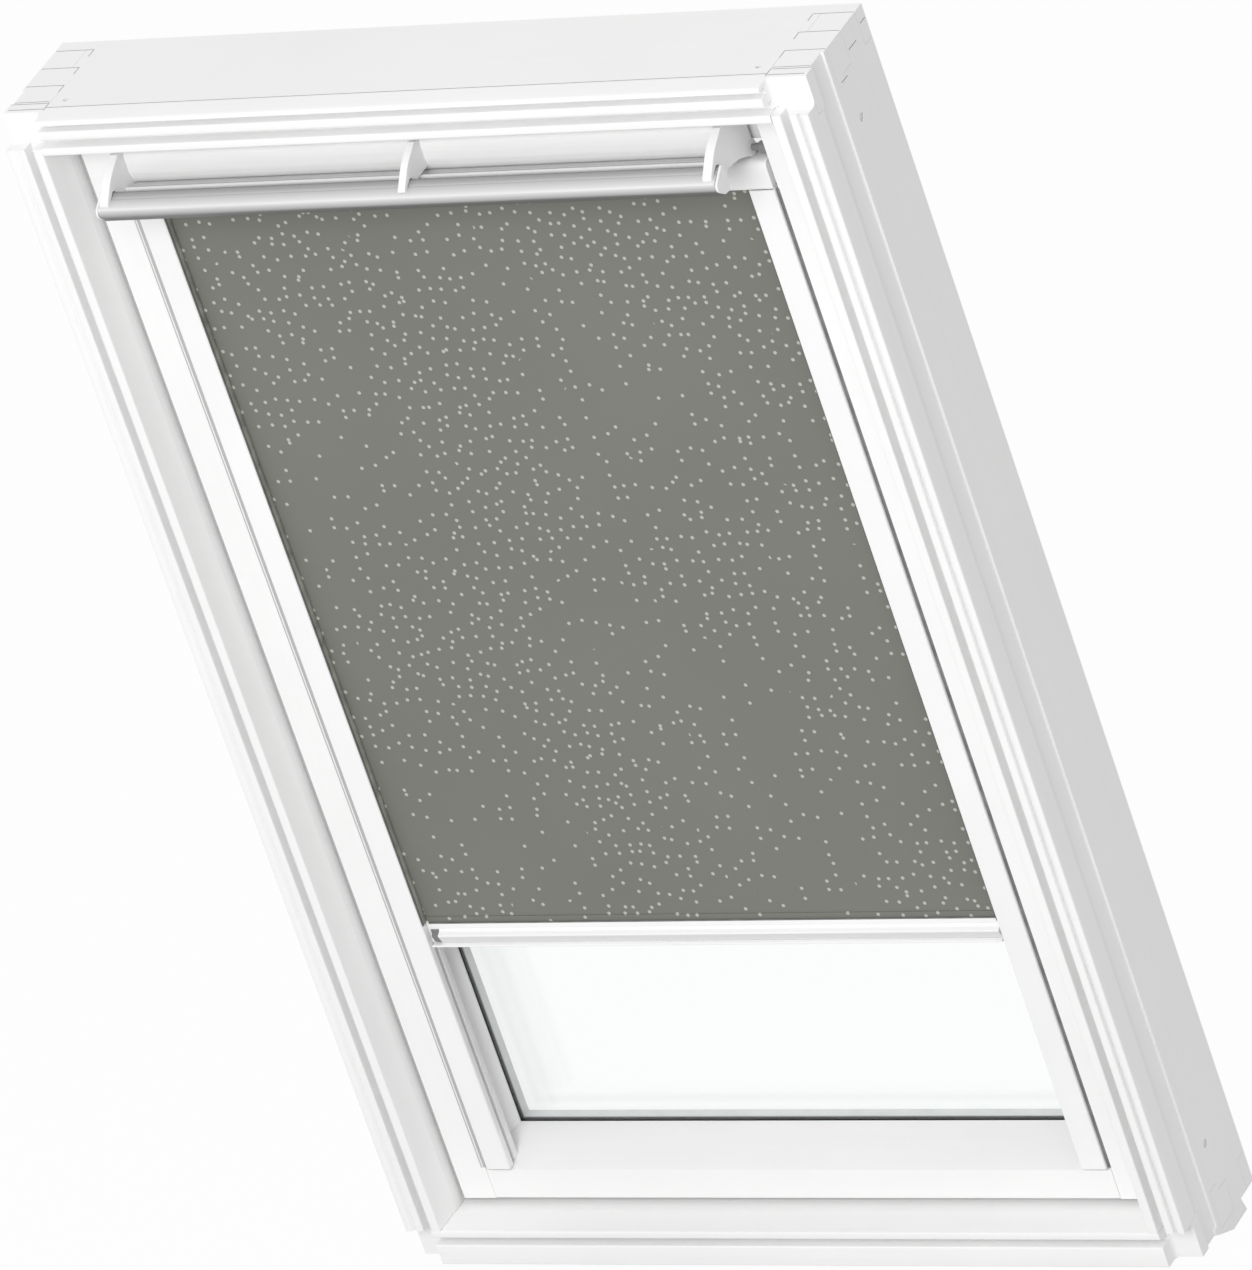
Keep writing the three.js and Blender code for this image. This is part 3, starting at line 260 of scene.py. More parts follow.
def bar_along_x(name, outline, stations, shares=None):
    """A closed outline in Y and Z carried along X and closed at both ends.

    Point (i, j) lies at x of station i, and at the outline's middle plus the station's
    share of the outline's arm from that middle.
    """
    xs = np.asarray(stations, float)
    scale = np.ones_like(xs) if shares is None else np.asarray(shares, float)
    middle = (outline.min(0) + outline.max(0)) / 2
    ring = middle + (outline - middle)[None] * scale[:, None, None]
    across = np.broadcast_to(xs[:, None, None], (len(xs), len(outline), 1))
    points = np.concatenate([across, ring], 2)
    count = len(outline)
    faces = grid_faces(len(xs), count, True)
    faces.append(list(range(count)))
    faces.append(list(range((len(xs) - 1) * count, len(xs) * count)))
    piece = mesh_object(name, points, faces)
    face_out(piece)
    return piece


def crease(body, angle=35, narrow=3 * MM):
    """Shades smoothly only across the narrow faces of roundings; flat faces keep their own light."""
    for face in body.faces:
        face.smooth = True
    for edge in body.edges:
        if len(edge.link_faces) != 2:
            continue
        length = max(edge.calc_length(), 1e-9)
        widths = [face.calc_area() / length for face in edge.link_faces]
        edge.smooth = edge.calc_face_angle() < math.radians(angle) and min(widths) < narrow


def finish_piece(piece, material, body, replaced=()):
    """Gives a piece its finish, the nodes it stands for and the body it rides on."""
    piece.data.materials.clear()
    piece.data.materials.append(material)
    if replaced:
        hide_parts(*replaced)
    if body:
        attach(piece, body)
    return piece


def rail(name, outline, stations, finish, body, replaced=(), shares=None, angle=50):
    """A bar along X with its finish, shaded smoothly up to the angle."""
    piece = bar_along_x(name, outline, stations, shares)
    smooth(piece, angle)
    return finish_piece(piece, FINISHES[finish], body, replaced)


def beads(name, starts, ends, sides, outs, width, rise, sunk):
    """Straight thin beads: half ellipses of a width and a rise, sunk a little in what carries them.

    Point k of each end is the end plus the side arm times half the width times cosine, plus the
    outward arm times the rise times sine, for k equal steps of a half turn; two points below close it.
    """
    turn = np.linspace(0, math.pi, 7)
    flat = np.concatenate([np.cos(turn), [-1.0, 1.0]]) * width / 2
    high = np.concatenate([np.sin(turn) * rise, [-sunk, -sunk]])
    start, end = np.asarray(starts, float), np.asarray(ends, float)
    side, out = np.asarray(sides, float), np.asarray(outs, float)
    arm = side[:, None] * flat[None, :, None] + out[:, None] * high[None, :, None]
    rings = np.stack([start[:, None] + arm, end[:, None] + arm], 1)
    count = len(flat)
    here = np.arange(count)
    ahead = (here + 1) % count
    quads = np.stack([here, ahead, ahead + count, here + count], 1)
    offset = (np.arange(len(start)) * 2 * count)[:, None, None]
    faces = (quads[None] + offset).reshape(-1, 4).tolist()
    caps = np.stack([here, here + count])[None] + offset
    faces += caps.reshape(-1, count).tolist()
    piece = mesh_object(name, rings, faces)
    face_out(piece)
    return smooth(piece, 60)


def strip(name, ends, side, out, section, finish, body):
    """One bead between two ends; its section is width, rise and sunk depth in millimetres."""
    piece = beads(name, [ends[0]], [ends[1]], [side], [out], *(size * MM for size in section))
    return finish_piece(piece, FINISHES[finish], body)


def softened_copy(node, ending, finish, width):
    """A merged copy of a solid with its flat faces joined and its sharp edges softened."""
    piece = bpy.data.objects.new(node + ending, NODES[node].data.copy())
    bpy.context.scene.collection.objects.link(piece)
    body = bmesh.new()
    body.from_mesh(piece.data)
    bmesh.ops.remove_doubles(body, verts=body.verts, dist=2e-6)
    bmesh.ops.dissolve_limit(body, angle_limit=math.radians(0.6), verts=body.verts, edges=body.edges)
    crease(body)
    body.to_mesh(piece.data)
    body.free()
    bevel = piece.modifiers.new("Softened edges", "BEVEL")
    bevel.width = width
    bevel.segments = 2
    bevel.limit_method = "ANGLE"
    bevel.angle_limit = math.radians(40)
    bevel.harden_normals = True
    return finish_piece(piece, FINISHES[finish], body_of(NODES[node])[0], [node])


# Finishes


class Recipe:
    """A material's node tree with a Principled shader and short ways to feed it."""

    def __init__(self, name, colour, roughness, metallic=0.0):
        self.material = bpy.data.materials.new(name)
        self.material.use_nodes = True
        self.tree = self.material.node_tree
        self.shader = self.tree.nodes["Principled BSDF"]
        self.output = self.tree.nodes["Material Output"]
        self.shader.inputs["Base Color"].default_value = (*colour, 1.0)
        self.shader.inputs["Roughness"].default_value = roughness
        self.shader.inputs["Metallic"].default_value = metallic
        self.heights = []

    def add(self, kind, **values):
        node = self.tree.nodes.new(kind)
        for key, value in values.items():
            setattr(node, key, value)
        return node

    def link(self, source, target):
        self.tree.links.new(source, target)
        return target

    def coordinates(self, scale=(1.0, 1.0, 1.0), kind="Object"):
        if kind == "UV":
            place = self.add("ShaderNodeUVMap", uv_map="Surface").outputs["UV"]
        else:
            place = self.add("ShaderNodeTexCoord").outputs[kind]
        mapping = self.add("ShaderNodeMapping")
        mapping.inputs["Scale"].default_value = scale
        self.link(place, mapping.inputs["Vector"])
        return mapping.outputs["Vector"]

    def noise(self, scale, detail=3.0, stretch=(1.0, 1.0, 1.0), kind="Object"):
        node = self.add("ShaderNodeTexNoise")
        node.inputs["Scale"].default_value = scale
        node.inputs["Detail"].default_value = detail
        self.link(self.coordinates(stretch, kind), node.inputs["Vector"])
        return node.outputs["Fac"]

    def math(self, operation, first, second=None, third=None):
        node = self.add("ShaderNodeMath", operation=operation)
        for socket, value in zip(node.inputs, (first, second, third)):
            if value is None:
                continue
            if isinstance(value, (int, float)):
                socket.default_value = value
            else:
                self.link(value, socket)
        return node.outputs[0]

    def ramp(self, source, begin, end, first, last):
        node = self.add("ShaderNodeMapRange")
        for socket, value in (("From Min", begin), ("From Max", end), ("To Min", first), ("To Max", last)):
            node.inputs[socket].default_value = value
        self.link(source, node.inputs["Value"])
        return node.outputs["Result"]

    def spread(self, source, low, high):
        """Stretches the middle of a noise from one value to another."""
        return self.ramp(source, 0.3, 0.7, low, high)

    def cloudy(self, source, colour, dark, light):
        """Lets the colour wander with a noise between two shares of itself."""
        mix = self.blend(self.spread(source, 0.0, 1.0), tint(colour, dark), tint(colour, light))
        self.colour(mix)
        return mix

    def split(self):
        """The object's own X, Y and Z."""
        place = self.add("ShaderNodeSeparateXYZ")
        self.link(self.coordinates(), place.inputs["Vector"])
        return place.outputs

    def blend(self, factor, first, second):
        node = self.add("ShaderNodeMix", data_type="RGBA")
        self.link(factor, node.inputs["Factor"])
        for name, value in (("A", first), ("B", second)):
            socket = [s for s in node.inputs if s.name == name and s.type == "RGBA"][0]
            if isinstance(value, tuple):
                socket.default_value = (*value, 1.0)
            else:
                self.link(value, socket)
        return [s for s in node.outputs if s.type == "RGBA"][0]

    def rough(self, source, low, high):
        self.link(self.spread(source, low, high), self.shader.inputs["Roughness"])

    def colour(self, source):
        self.link(source, self.shader.inputs["Base Color"])

    def bump(self, height, strength, distance):
        node = self.add("ShaderNodeBump")
        node.inputs["Strength"].default_value = strength
        node.inputs["Distance"].default_value = distance
        self.link(height, node.inputs["Height"])
        if self.heights:
            self.link(self.heights[-1], node.inputs["Normal"])
        self.heights.append(node.outputs["Normal"])
        for link in list(self.shader.inputs["Normal"].links):
            self.tree.links.remove(link)
        self.link(node.outputs["Normal"], self.shader.inputs["Normal"])


def tint(colour, share):
    return tuple(min(1.0, channel * share) for channel in colour)


def grey(level):
    return (level, level, level)


# Stretch of the noise that gives draw lines along X
DRAWN_ALONG_X = (12.0, 1500.0, 1500.0)


def painted_timber(name, grain_axis):
    """White satin paint: brush lines and faint grain run along the member."""
    paint = tuple(colours().paint)
    recipe = Recipe(name, paint, 0.38)
    along = [260.0, 260.0, 260.0]
    along["XYZ".index(grain_axis)] = 5.0
    lines = recipe.noise(1.0, 4.0, tuple(along))
    cloud = recipe.noise(7.0, 2.0)
    mix = recipe.math("MULTIPLY_ADD", lines, 0.35, recipe.math("MULTIPLY", cloud, 0.65))
    recipe.cloudy(mix, paint, 0.975, 1.012)
    recipe.rough(cloud, 0.34, 0.44)
    recipe.bump(lines, 0.10, 0.15 * MM)
    recipe.bump(recipe.noise(900.0, 2.0), 0.04, 0.05 * MM)
    return recipe.material


def coated_metal(name, colour, roughness=0.36):
    """Powder coat: a fine orange peel over an even colour."""
    recipe = Recipe(name, colour, roughness)
    peel = recipe.noise(1400.0, 1.0)
    cloud = recipe.noise(5.0, 2.0)
    recipe.cloudy(cloud, colour, 0.97, 1.015)
    recipe.rough(peel, roughness - 0.05, roughness + 0.05)
    recipe.bump(peel, 0.08, 0.05 * MM)
    return recipe.material


def moulded_plastic(name, colour):
    """Moulded plastic: a spark-eroded grain."""
    recipe = Recipe(name, colour, 0.42)
    grain = recipe.noise(2200.0, 2.0)
    recipe.cloudy(recipe.noise(9.0, 2.0), colour, 0.97, 1.01)
    recipe.rough(grain, 0.38, 0.48)
    recipe.bump(grain, 0.12, 0.06 * MM)
    return recipe.material


def satin_aluminium(name, colour):
    """Anodised aluminium: fine draw lines along the extrusion."""
    recipe = Recipe(name, colour, 0.42, 0.85)
    lines = recipe.noise(1.0, 3.0, DRAWN_ALONG_X)
    recipe.cloudy(lines, colour, 0.93, 1.05)
    recipe.rough(lines, 0.36, 0.5)
    recipe.bump(lines, 0.10, 0.04 * MM)
    return recipe.material


def painted_shade_coat(name, light, dark, ramps, metallic=0.0):
    """A coat with fine draw lines along X whose colour carries shade painted along ramps over the section.

    Each ramp gives an axis, where it begins and ends, and its share at both; the product of the
    shares mixes the dark painted shade into the lit tone.
    """
    recipe = Recipe(name, light, 0.4, metallic)
    place = recipe.split()
    lines = recipe.noise(1.0, 3.0, DRAWN_ALONG_X)
    shade_share = recipe.spread(lines, 0.96, 1.0)
    # Painted shade: each ramp darkens the colour over part of the section
    for axis, begin, end, first, last in ramps:
        shade_share = recipe.math("MULTIPLY", shade_share, recipe.ramp(place[axis], begin, end, first, last))
    recipe.colour(recipe.blend(shade_share, grey(dark), light))
    recipe.rough(lines, 0.34, 0.46)
    recipe.bump(lines, 0.08, 0.04 * MM)
    return recipe.material


def zinc_steel(name, colour):
    """Zinc plated steel: cloudy spangle and faint scratches."""
    recipe = Recipe(name, colour, 0.34, 1.0)
    spangle = recipe.add("ShaderNodeTexVoronoi")
    spangle.inputs["Scale"].default_value = 220.0
    recipe.link(recipe.coordinates(), spangle.inputs["Vector"])
    scratch = recipe.noise(1.0, 3.0, (2000.0, 90.0, 900.0))
    recipe.colour(recipe.blend(spangle.outputs["Distance"], tint(colour, 0.9), tint(colour, 1.08)))
    recipe.rough(scratch, 0.26, 0.44)
    recipe.bump(scratch, 0.12, 0.04 * MM)
    return recipe.material


def soft_rubber(name, colour):
    """Extruded rubber: dull, with a bloom in patches."""
    recipe = Recipe(name, colour, 0.72)
    bloom = recipe.noise(60.0, 3.0)
    recipe.cloudy(bloom, colour, 0.8, 1.5)
    recipe.rough(bloom, 0.62, 0.82)
    recipe.bump(recipe.noise(1800.0, 2.0), 0.15, 0.05 * MM)
    return recipe.material


def clear_glass(name, colour):
    """Clear float glass that lets lamps through; smudges only change its roughness a little."""
    recipe = Recipe(name, colour, 0.0)
    recipe.shader.inputs["Transmission Weight"].default_value = 1.0
    recipe.shader.inputs["IOR"].default_value = 1.46
    recipe.shader.inputs["Roughness"].default_value = 0.0
    haze = recipe.noise(14.0, 3.0)
    recipe.rough(haze, 0.0, 0.012)
    path = recipe.add("ShaderNodeLightPath")
    open_air = recipe.add("ShaderNodeBsdfTransparent")
    open_air.inputs["Color"].default_value = (0.97, 0.98, 0.975, 1.0)
    mix = recipe.add("ShaderNodeMixShader")
    recipe.link(path.outputs["Is Shadow Ray"], mix.inputs["Fac"])
    recipe.link(recipe.shader.outputs["BSDF"], mix.inputs[1])
    recipe.link(open_air.outputs["BSDF"], mix.inputs[2])
    recipe.link(mix.outputs["Shader"], recipe.output.inputs["Surface"])
    return recipe.material


def edge_spacer(name, colour, seal, seal_end):
    """Steel spacer tape: bright folded steel behind a black sealing line on the room side."""
    recipe = Recipe(name, colour, 0.34, 0.6)
    line = recipe.ramp(recipe.split()["Y"], seal_end, seal_end + 2.5 * MM, 0.0, 1.0)
    cloud = recipe.noise(40.0, 2.0)
    steel = recipe.cloudy(cloud, colour, 0.92, 1.05)
    recipe.colour(recipe.blend(line, seal, steel))
    recipe.rough(cloud, 0.3, 0.42)
    recipe.bump(recipe.noise(1500.0, 1.0), 0.1, 0.04 * MM)
    return recipe.material


def coated_cloth(name):
    """Blackout cloth: plain weave of fine threads under a coating, with scattered pale dots.

    The dots are the near neighbourhoods of jittered points in a square net; a second, slower
    noise leaves some of the places bare, so that the scatter is thicker in places.
    """
    cloth = tuple(colours().cloth)
    size = sizes()
    recipe = Recipe(name, cloth, 0.86)
    recipe.shader.inputs["Sheen Weight"].default_value = 0.12
    recipe.shader.inputs["Sheen Roughness"].default_value = 0.5
    recipe.shader.inputs["Specular IOR Level"].default_value = 0.25
    net = recipe.add("ShaderNodeTexVoronoi", voronoi_dimensions="2D", feature="F1")
    net.inputs["Scale"].default_value = 1.0 / size.dot_pitch
    net.inputs["Randomness"].default_value = 0.82
    recipe.link(recipe.coordinates(kind="UV"), net.inputs["Vector"])
    reach = size.dot_radius / size.dot_pitch
    edge = recipe.ramp(net.outputs["Distance"], reach * 0.78, reach * 1.12, 1.0, 0.0)
    parts = recipe.add("ShaderNodeSeparateColor")
    recipe.link(net.outputs["Color"], parts.inputs["Color"])
    crowd = recipe.add("ShaderNodeTexNoise", noise_dimensions="2D")
    crowd.inputs["Scale"].default_value = 5.5
    crowd.inputs["Detail"].default_value = 1.0
    recipe.link(recipe.coordinates(kind="UV"), crowd.inputs["Vector"])
    limit = recipe.spread(crowd.outputs["Fac"], 0.28, 1.0)
    shown = recipe.math("LESS_THAN", parts.outputs["Red"], limit)
    dots = recipe.math("MULTIPLY", edge, shown)
    waves = []
    for direction in "XY":
        wave = recipe.add("ShaderNodeTexWave", bands_direction=direction)
        wave.inputs["Scale"].default_value = 380.0
        recipe.link(recipe.coordinates(kind="UV"), wave.inputs["Vector"])
        waves.append(wave.outputs["Fac"])
    threads = recipe.math("MULTIPLY", *waves)
    ground = recipe.cloudy(recipe.noise(3.0, 2.0, kind="UV"), cloth, 0.95, 1.05)
    ground = recipe.blend(recipe.math("MULTIPLY", threads, 0.25), ground, tint(cloth, 1.18))
    recipe.colour(recipe.blend(dots, ground, tuple(colours().dots)))
    recipe.rough(threads, 0.8, 0.92)
    recipe.bump(threads, 0.25, 0.08 * MM)
    return recipe.material


def open_foam(name, colour):
    """Filter foam: open cells."""
    recipe = Recipe(name, colour, 0.95)
    cells = recipe.add("ShaderNodeTexVoronoi")
    cells.inputs["Scale"].default_value = 900.0
    recipe.link(recipe.coordinates(), cells.inputs["Vector"])
    recipe.colour(recipe.blend(cells.outputs["Distance"], tint(colour, 0.55), tint(colour, 1.1)))
    recipe.bump(cells.outputs["Distance"], 0.6, 0.4 * MM)
    return recipe.material


FINISHES = {}


def make_finishes():
    """Makes every finish; the ones with painted shade and the spacer's follow the box of their own solid."""
    look = {key: tuple(getattr(colours(), key)) for key in RoofWindowColours.__annotations__}
    for key, make, name, *values in (
            ("timber_upright", painted_timber, "White paint, upright grain", "Z"),
            ("timber_across", painted_timber, "White paint, cross grain", "X"),
            ("coated", coated_metal, "White powder coat", look["coated"]),
            ("cover", coated_metal, "Grey cover coat", look["cover"], 0.45),
            ("lock", coated_metal, "Light lock coat", grey(0.6), 0.4),
            ("joint", coated_metal, "Joint filler", look["joint"], 0.7),
            ("moulded", moulded_plastic, "White moulded plastic", look["moulded"]),
            ("dark_moulded", moulded_plastic, "Dark moulded plastic", (0.04, 0.04, 0.042)),
            ("grey_moulded", moulded_plastic, "Grey moulded plastic", (0.2, 0.2, 0.205)),
            # Pale painted shade: grey strips in the gaps beside the channels and the sash stand for their
            # shade
            ("pale_seal", moulded_plastic, "Pale gap seal", grey(0.46)),
            ("aluminium", satin_aluminium, "Satin aluminium", look["aluminium"]),
            ("steel", zinc_steel, "Zinc plated steel", look["steel"]),
            ("rubber", soft_rubber, "Sealing rubber", look["rubber"]),
            # The shadow finish is painted shade for dark strips put where there is only shade
            ("shadow", soft_rubber, "Grey gap seal", grey(0.15)),
            ("welt", soft_rubber, "Cloth edge welt", (0.27, 0.27, 0.24)),
            ("glass", clear_glass, "Clear glass", (0.99, 1.0, 0.996)),
            ("cloth", coated_cloth, "Blackout cloth"),
            ("foam", open_foam, "Filter foam", (0.42, 0.42, 0.4))):
        FINISHES[key] = make(name, *values)
    seal_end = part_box("glass_spacer")[0].y + 3.2 * MM
    FINISHES["spacer"] = edge_spacer("Spacer and edge seal", look["spacer"], look["rubber"], seal_end)
    # Painted shade on the control bar: its colour darkens towards the back edge and towards the foot
    low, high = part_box("control_bar")
    FINISHES["bar"] = painted_shade_coat("Anodised control bar", look["bar"], 0.02, (
        ("Y", high.y, low.y + 1.5 * MM, 0.2, 1.0), ("Z", high.z - 8.5 * MM, low.z + 6 * MM, 1.0, 0.22)), 0.35)
    # Painted shade on the flap's roll: its colour darkens towards the foot
    low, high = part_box("vent_flap")
    FINISHES["flap"] = painted_shade_coat("Flap paint", look["paint"], 0.2, (
        ("Z", high.z - 26.5 * MM, high.z - 34.5 * MM, 1.0, 0.4),))
    # Painted shadow: a grey strip that darkens towards the front lies in the flap's gutter where there is
    # only shade
    FINISHES["gutter"] = painted_shade_coat("Gutter seal", grey(0.78), 0.12, (
        ("Y", low.y + 11.5 * MM, low.y + 8.5 * MM, 1.0, 0.1),))
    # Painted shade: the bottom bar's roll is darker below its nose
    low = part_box("blind_bottom_bar")[0]
    FINISHES["roll"] = painted_shade_coat("Bottom bar roll", look["coated"], 0.77, (
        ("Z", low.z + 11.2 * MM, low.z + 10.2 * MM, 1.0, 0.0),))


def both(*stems):
    """The names of the right and the left one of each pair."""
    return [f"{stem}_{side}" for stem in stems for side in ("right", "left")]


# Solids that keep their own shape, by finish
KEPT = {
    "rubber": ["frame_seal_upper", "frame_seal_lower", "glazing_seal", "flap_gasket"],
    "glass": ["glass_inner_pane", "glass_outer_pane"],
    "spacer": ["glass_spacer"],
    "dark_moulded": both("glazing_block"),
    "grey_moulded": both("flap_hinge_pin", "flap_bush"),
    "moulded": both("bar_guide", "roller_plug"),
    "lock": ["lock_case"],
    "aluminium": ["blind_roller_tube"],
    "steel": both("sash_pivot", "frame_pivot", "corner_screw_lower", "corner_screw_upper")
             + ["strike_plate", "lock_bolt", "roller_spring_cassette"],
}

# Solids whose edges are softened: finish, slot, nodes
TIMBER = (
    ("timber_upright", "painted_timber", both("frame_jamb", "sash_stile")),
    ("timber_across", "painted_timber", ["frame_head", "frame_sill", "sash_top_rail", "sash_bottom_rail"]),
)
FOLDED = (
    ("cover", "cover_metal", both("sash_cover") + ["sash_cover_top", "sash_cover_bottom"]),
    ("coated", "blind_profile", both("blind_channel") + ["blind_casing"]),
    ("moulded", "grey_plastic", both("flap_bracket", "bar_end_cap") + ["flap_bracket_middle"]),
)


def soften_all(table, ending, width):
    for finish, slot, nodes in table:
        for node in nodes:
            softened_copy(node, ending, finish, width)


class ROOFWINDOW_OT_finishes(bpy.types.Operator):
    """Make the finishes and put them on the solids that keep their shape"""

    bl_idname = "roofwindow.finishes"
    bl_label = "Finishes"

    def execute(self, context):
        make_finishes()
        for finish, nodes in KEPT.items():
            for node in nodes:
                NODES[node].data.materials.clear()
                NODES[node].data.materials.append(FINISHES[finish])
        return {"FINISHED"}


class ROOFWINDOW_OT_timber(bpy.types.Operator):
    """Soften the edges of the painted timber"""

    bl_idname = "roofwindow.timber"
    bl_label = "Timber"

    def execute(self, context):
        soften_all(TIMBER, "_painted", sizes().timber_edge)
        return {"FINISHED"}


class ROOFWINDOW_OT_folded(bpy.types.Operator):
    """Soften the edges of covers, blind profiles and brackets"""

    bl_idname = "roofwindow.folded"
    bl_label = "Covers, profiles and brackets"

    def execute(self, context):
        soften_all(FOLDED, "_finished", sizes().moulded_edge)
        return {"FINISHED"}


# Ventilation flap


def flap_outline():
    """The flap's roll: an upright face that curls back at its top and under at its foot."""
    low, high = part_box("vent_flap")
    back = (high.y - low.y) / MM
    corners = [
        (back, 0), (17, 0), (12.4, -5), (12, -22), (14.6, -33.4), (22, -33.6), (22, -31.4), (16.8, -31.2),
        (14.4, -22), (14.6, -6), (17.8, -2.2), (back, -2.2)]
    return rounded_outline(low.y, high.z, corners, [0.8, 2.5, 7, 16, 4.5, 0.6, 0.5, 2, 9, 4, 1, 0.5])


def drip_lip_outline():
    """The thin lip below the roll: a flat floor that ends in a raised bead."""
    low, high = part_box("vent_flap")
    back, bead = (high.y - low.y) / MM, (high.z - low.z) / MM - 29.8
    corners = [(back, 1.5), (3.8, 1.5), (2.6, bead), (-1, bead), (-1, 2.6), (4, 0), (back, 0)]
    return rounded_outline(low.y, low.z, corners, [0.5, 0.6, 0.8, 1.4, 1.0, 1.5, 0.5])


class ROOFWINDOW_OT_flap(bpy.types.Operator):
    """Make the ventilation flap: its roll with shade painted towards its foot, its drip lip and a grey strip
    of painted shadow in the gutter between them
    """

    bl_idname = "roofwindow.flap"
    bl_label = "Ventilation flap"

    def execute(self, context):
        low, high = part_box("vent_flap")
        across = np.linspace(low.x, high.x, 9)
        rail("ventilation_roll", flap_outline(), across, "flap", "vent_flap", ["vent_flap"])
        rail("ventilation_drip_lip", drip_lip_outline(), across, "coated", "vent_flap")
        middle, gutter, inset = low.y + 9.6 * MM, low.z + 1.5 * MM, 1 * MM
        # The gutter strip is painted shadow for the shade between roll and drip lip
        strip("flap_gutter_strip", [(low.x + inset, middle, gutter), (high.x - inset, middle, gutter)],
              (0, 1, 0), (0, 0, 1), (10, 0.5, 0.5), "gutter", "vent_flap")
        return {"FINISHED"}


# Control bar


def bar_outline():
    """The control bar's section: a raised back, a sloping face and a nose."""
    low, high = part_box("control_bar")
    back, top = (high.y - low.y) / MM, (high.z - low.z) / MM
    corners = [(back - 2.5, top), (0, top - 8), (0.8, 9), (8, 0), (back - 3, 0), (back, 4), (back, top - 4)]
    return rounded_outline(low.y, low.z, corners, [2.4, 1.6, 4.5, 5, 1.6, 1.6, 1.6])


def grooved(outline, groove_share, width_share, depth):
    """Pushes a narrow stretch of an outline towards its middle.

    The push is the depth times the square of the cosine over the stretch, placed by its
    share of the way from the top point round the front.
    """
    steps = np.linalg.norm(np.roll(outline, -1, 0) - outline, axis=1)
    along = np.concatenate([[0.0], np.cumsum(steps)])[:-1] / steps.sum()
    fine = np.linspace(0, 1, 160, endpoint=False)
    loop = np.stack([np.interp(fine, np.append(along, 1.0), np.append(outline[:, k], outline[0, k]))
                     for k in range(2)], 1)
    offset = np.clip((fine - groove_share) / width_share, -0.5, 0.5)
    push = depth * np.cos(math.pi * offset) ** 2 * (np.abs(offset) < 0.5)
    middle = loop.mean(0)
    arm = middle - loop
    arm /= np.linalg.norm(arm, axis=1, keepdims=True)
    return loop + arm * push[:, None]


class ROOFWINDOW_OT_control_bar(bpy.types.Operator):
    """Make the control bar with its grip groove and its painted shade"""

    bl_idname = "roofwindow.control_bar"
    bl_label = "Control bar"

    def execute(self, context):
        low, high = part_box("control_bar")
        outline = grooved(bar_outline(), 0.13, 0.03, 0.9 * MM)
        rail("control_rail", outline, np.linspace(low.x, high.x, 5), "bar", "vent_flap",
             ["control_bar"])
        return {"FINISHED"}


# Blind


BAND_SHARES = (0.0, 0.05, 0.2, 0.5, 0.8, 0.95, 1.0)


def smooth_turn(share):
    """The share of the way at which a smooth step from 0 to 1 has risen to a height.

    The smooth step is 3 t squared minus 2 t cubed; its inverse is
    one half minus the sine of a third of the arcsine of 1 minus twice the height.
    """
    return 0.5 - math.sin(math.asin(1 - 2 * share) / 3)


def map_across(piece):
    """Lays the pattern flat on a piece: u is x and v is z of each corner."""
    mesh = piece.data
    place = np.empty(len(mesh.vertices) * 3, np.float32)
    mesh.vertices.foreach_get("co", place)
    corners = np.empty(len(mesh.loops), np.int32)
    mesh.loops.foreach_get("vertex_index", corners)
    layer = mesh.uv_layers.new(name="Surface")
    layer.data.foreach_set("uv", place.reshape(-1, 3)[corners][:, [0, 2]].ravel())


def stretch_along(piece, top_share, foot_share, top, foot, y):
    """Lets a piece of the drop follow the bar by its share of the way from sash to bar."""
    start, end = smooth_turn(top_share), smooth_turn(foot_share)
    reach = (foot_share - top_share) / (end - start)
    first = top_share - start * reach
    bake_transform(piece, "sash", "blind_bar", start=(0, y, top + (foot - top) * first),
             end=(0, y, top + (foot - top) * (first + reach)))


def edge_welt(index, top_share, foot_share, side, x, top, foot, y):
    """The soft welt on an edge of the drawn cloth: it stands forward beside the channel to a dark strip of
    painted shade.
    """
    ends = [top + (foot - top) * share for share in (top_share, foot_share)]
    out = -1.0 if x > 0 else 1.0
    # The lip is painted shade: a dark strip where the channel's corner shades the cloth
    for part, near, far, finish in (("welt", 0.5, 6.4, "welt"), ("lip", 6.4, 9.3, "shadow")):
        front = y - (near + far) / 2 * MM
        piece = strip(f"cloth_{part}_{side}_{index + 1}", [(x, front, z) for z in ends],
                      (0, 1, 0), (out, 0, 0), (far - near, 0.5, 0.1), finish, None)
        stretch_along(piece, top_share, foot_share, top, foot, y)


def cloth_band(index, top_share, foot_share, left, right, top, foot, y):
    """A flat band of the cloth: a thin slab, x across and z down its share of the drop."""
    rows, columns = 13, 49
    z = np.linspace(top + (foot - top) * top_share, top + (foot - top) * foot_share, rows)
    half = sizes().cloth_thickness / 2
    front = np.stack([np.full(rows, y - half), z], 1)
    back = np.stack([np.full(rows, y + half), z[::-1]], 1)
    piece = bar_along_x(f"cloth_band_{index + 1}", np.concatenate([front, back]),
                        np.linspace(left, right, columns))
    smooth(piece)
    map_across(piece)
    finish_piece(piece, FINISHES["cloth"], None, ["blind_fabric"])
    stretch_along(piece, top_share, foot_share, top, foot, y)


class ROOFWINDOW_OT_cloth(bpy.types.Operator):
    """Make the drawn cloth in bands that stretch evenly as the bar moves"""

    bl_idname = "roofwindow.cloth"
    bl_label = "Blackout cloth"

    def execute(self, context):
        low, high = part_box("blind_fabric")
        y = (low.y + high.y) / 2
        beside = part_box("blind_channel_right")[0].x - 0.3 * MM
        welt_top, welt_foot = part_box("blind_channel_right")[1].z - 0.7 * MM, low.z - 2 * MM
        for index, (start, end) in enumerate(zip(BAND_SHARES, BAND_SHARES[1:])):
            cloth_band(index, start, end, low.x, high.x, high.z, low.z, y)
            for side, sign in (("right", 1), ("left", -1)):
                edge_welt(index, start, end, side, sign * beside, welt_top, welt_foot, y)
        return {"FINISHED"}


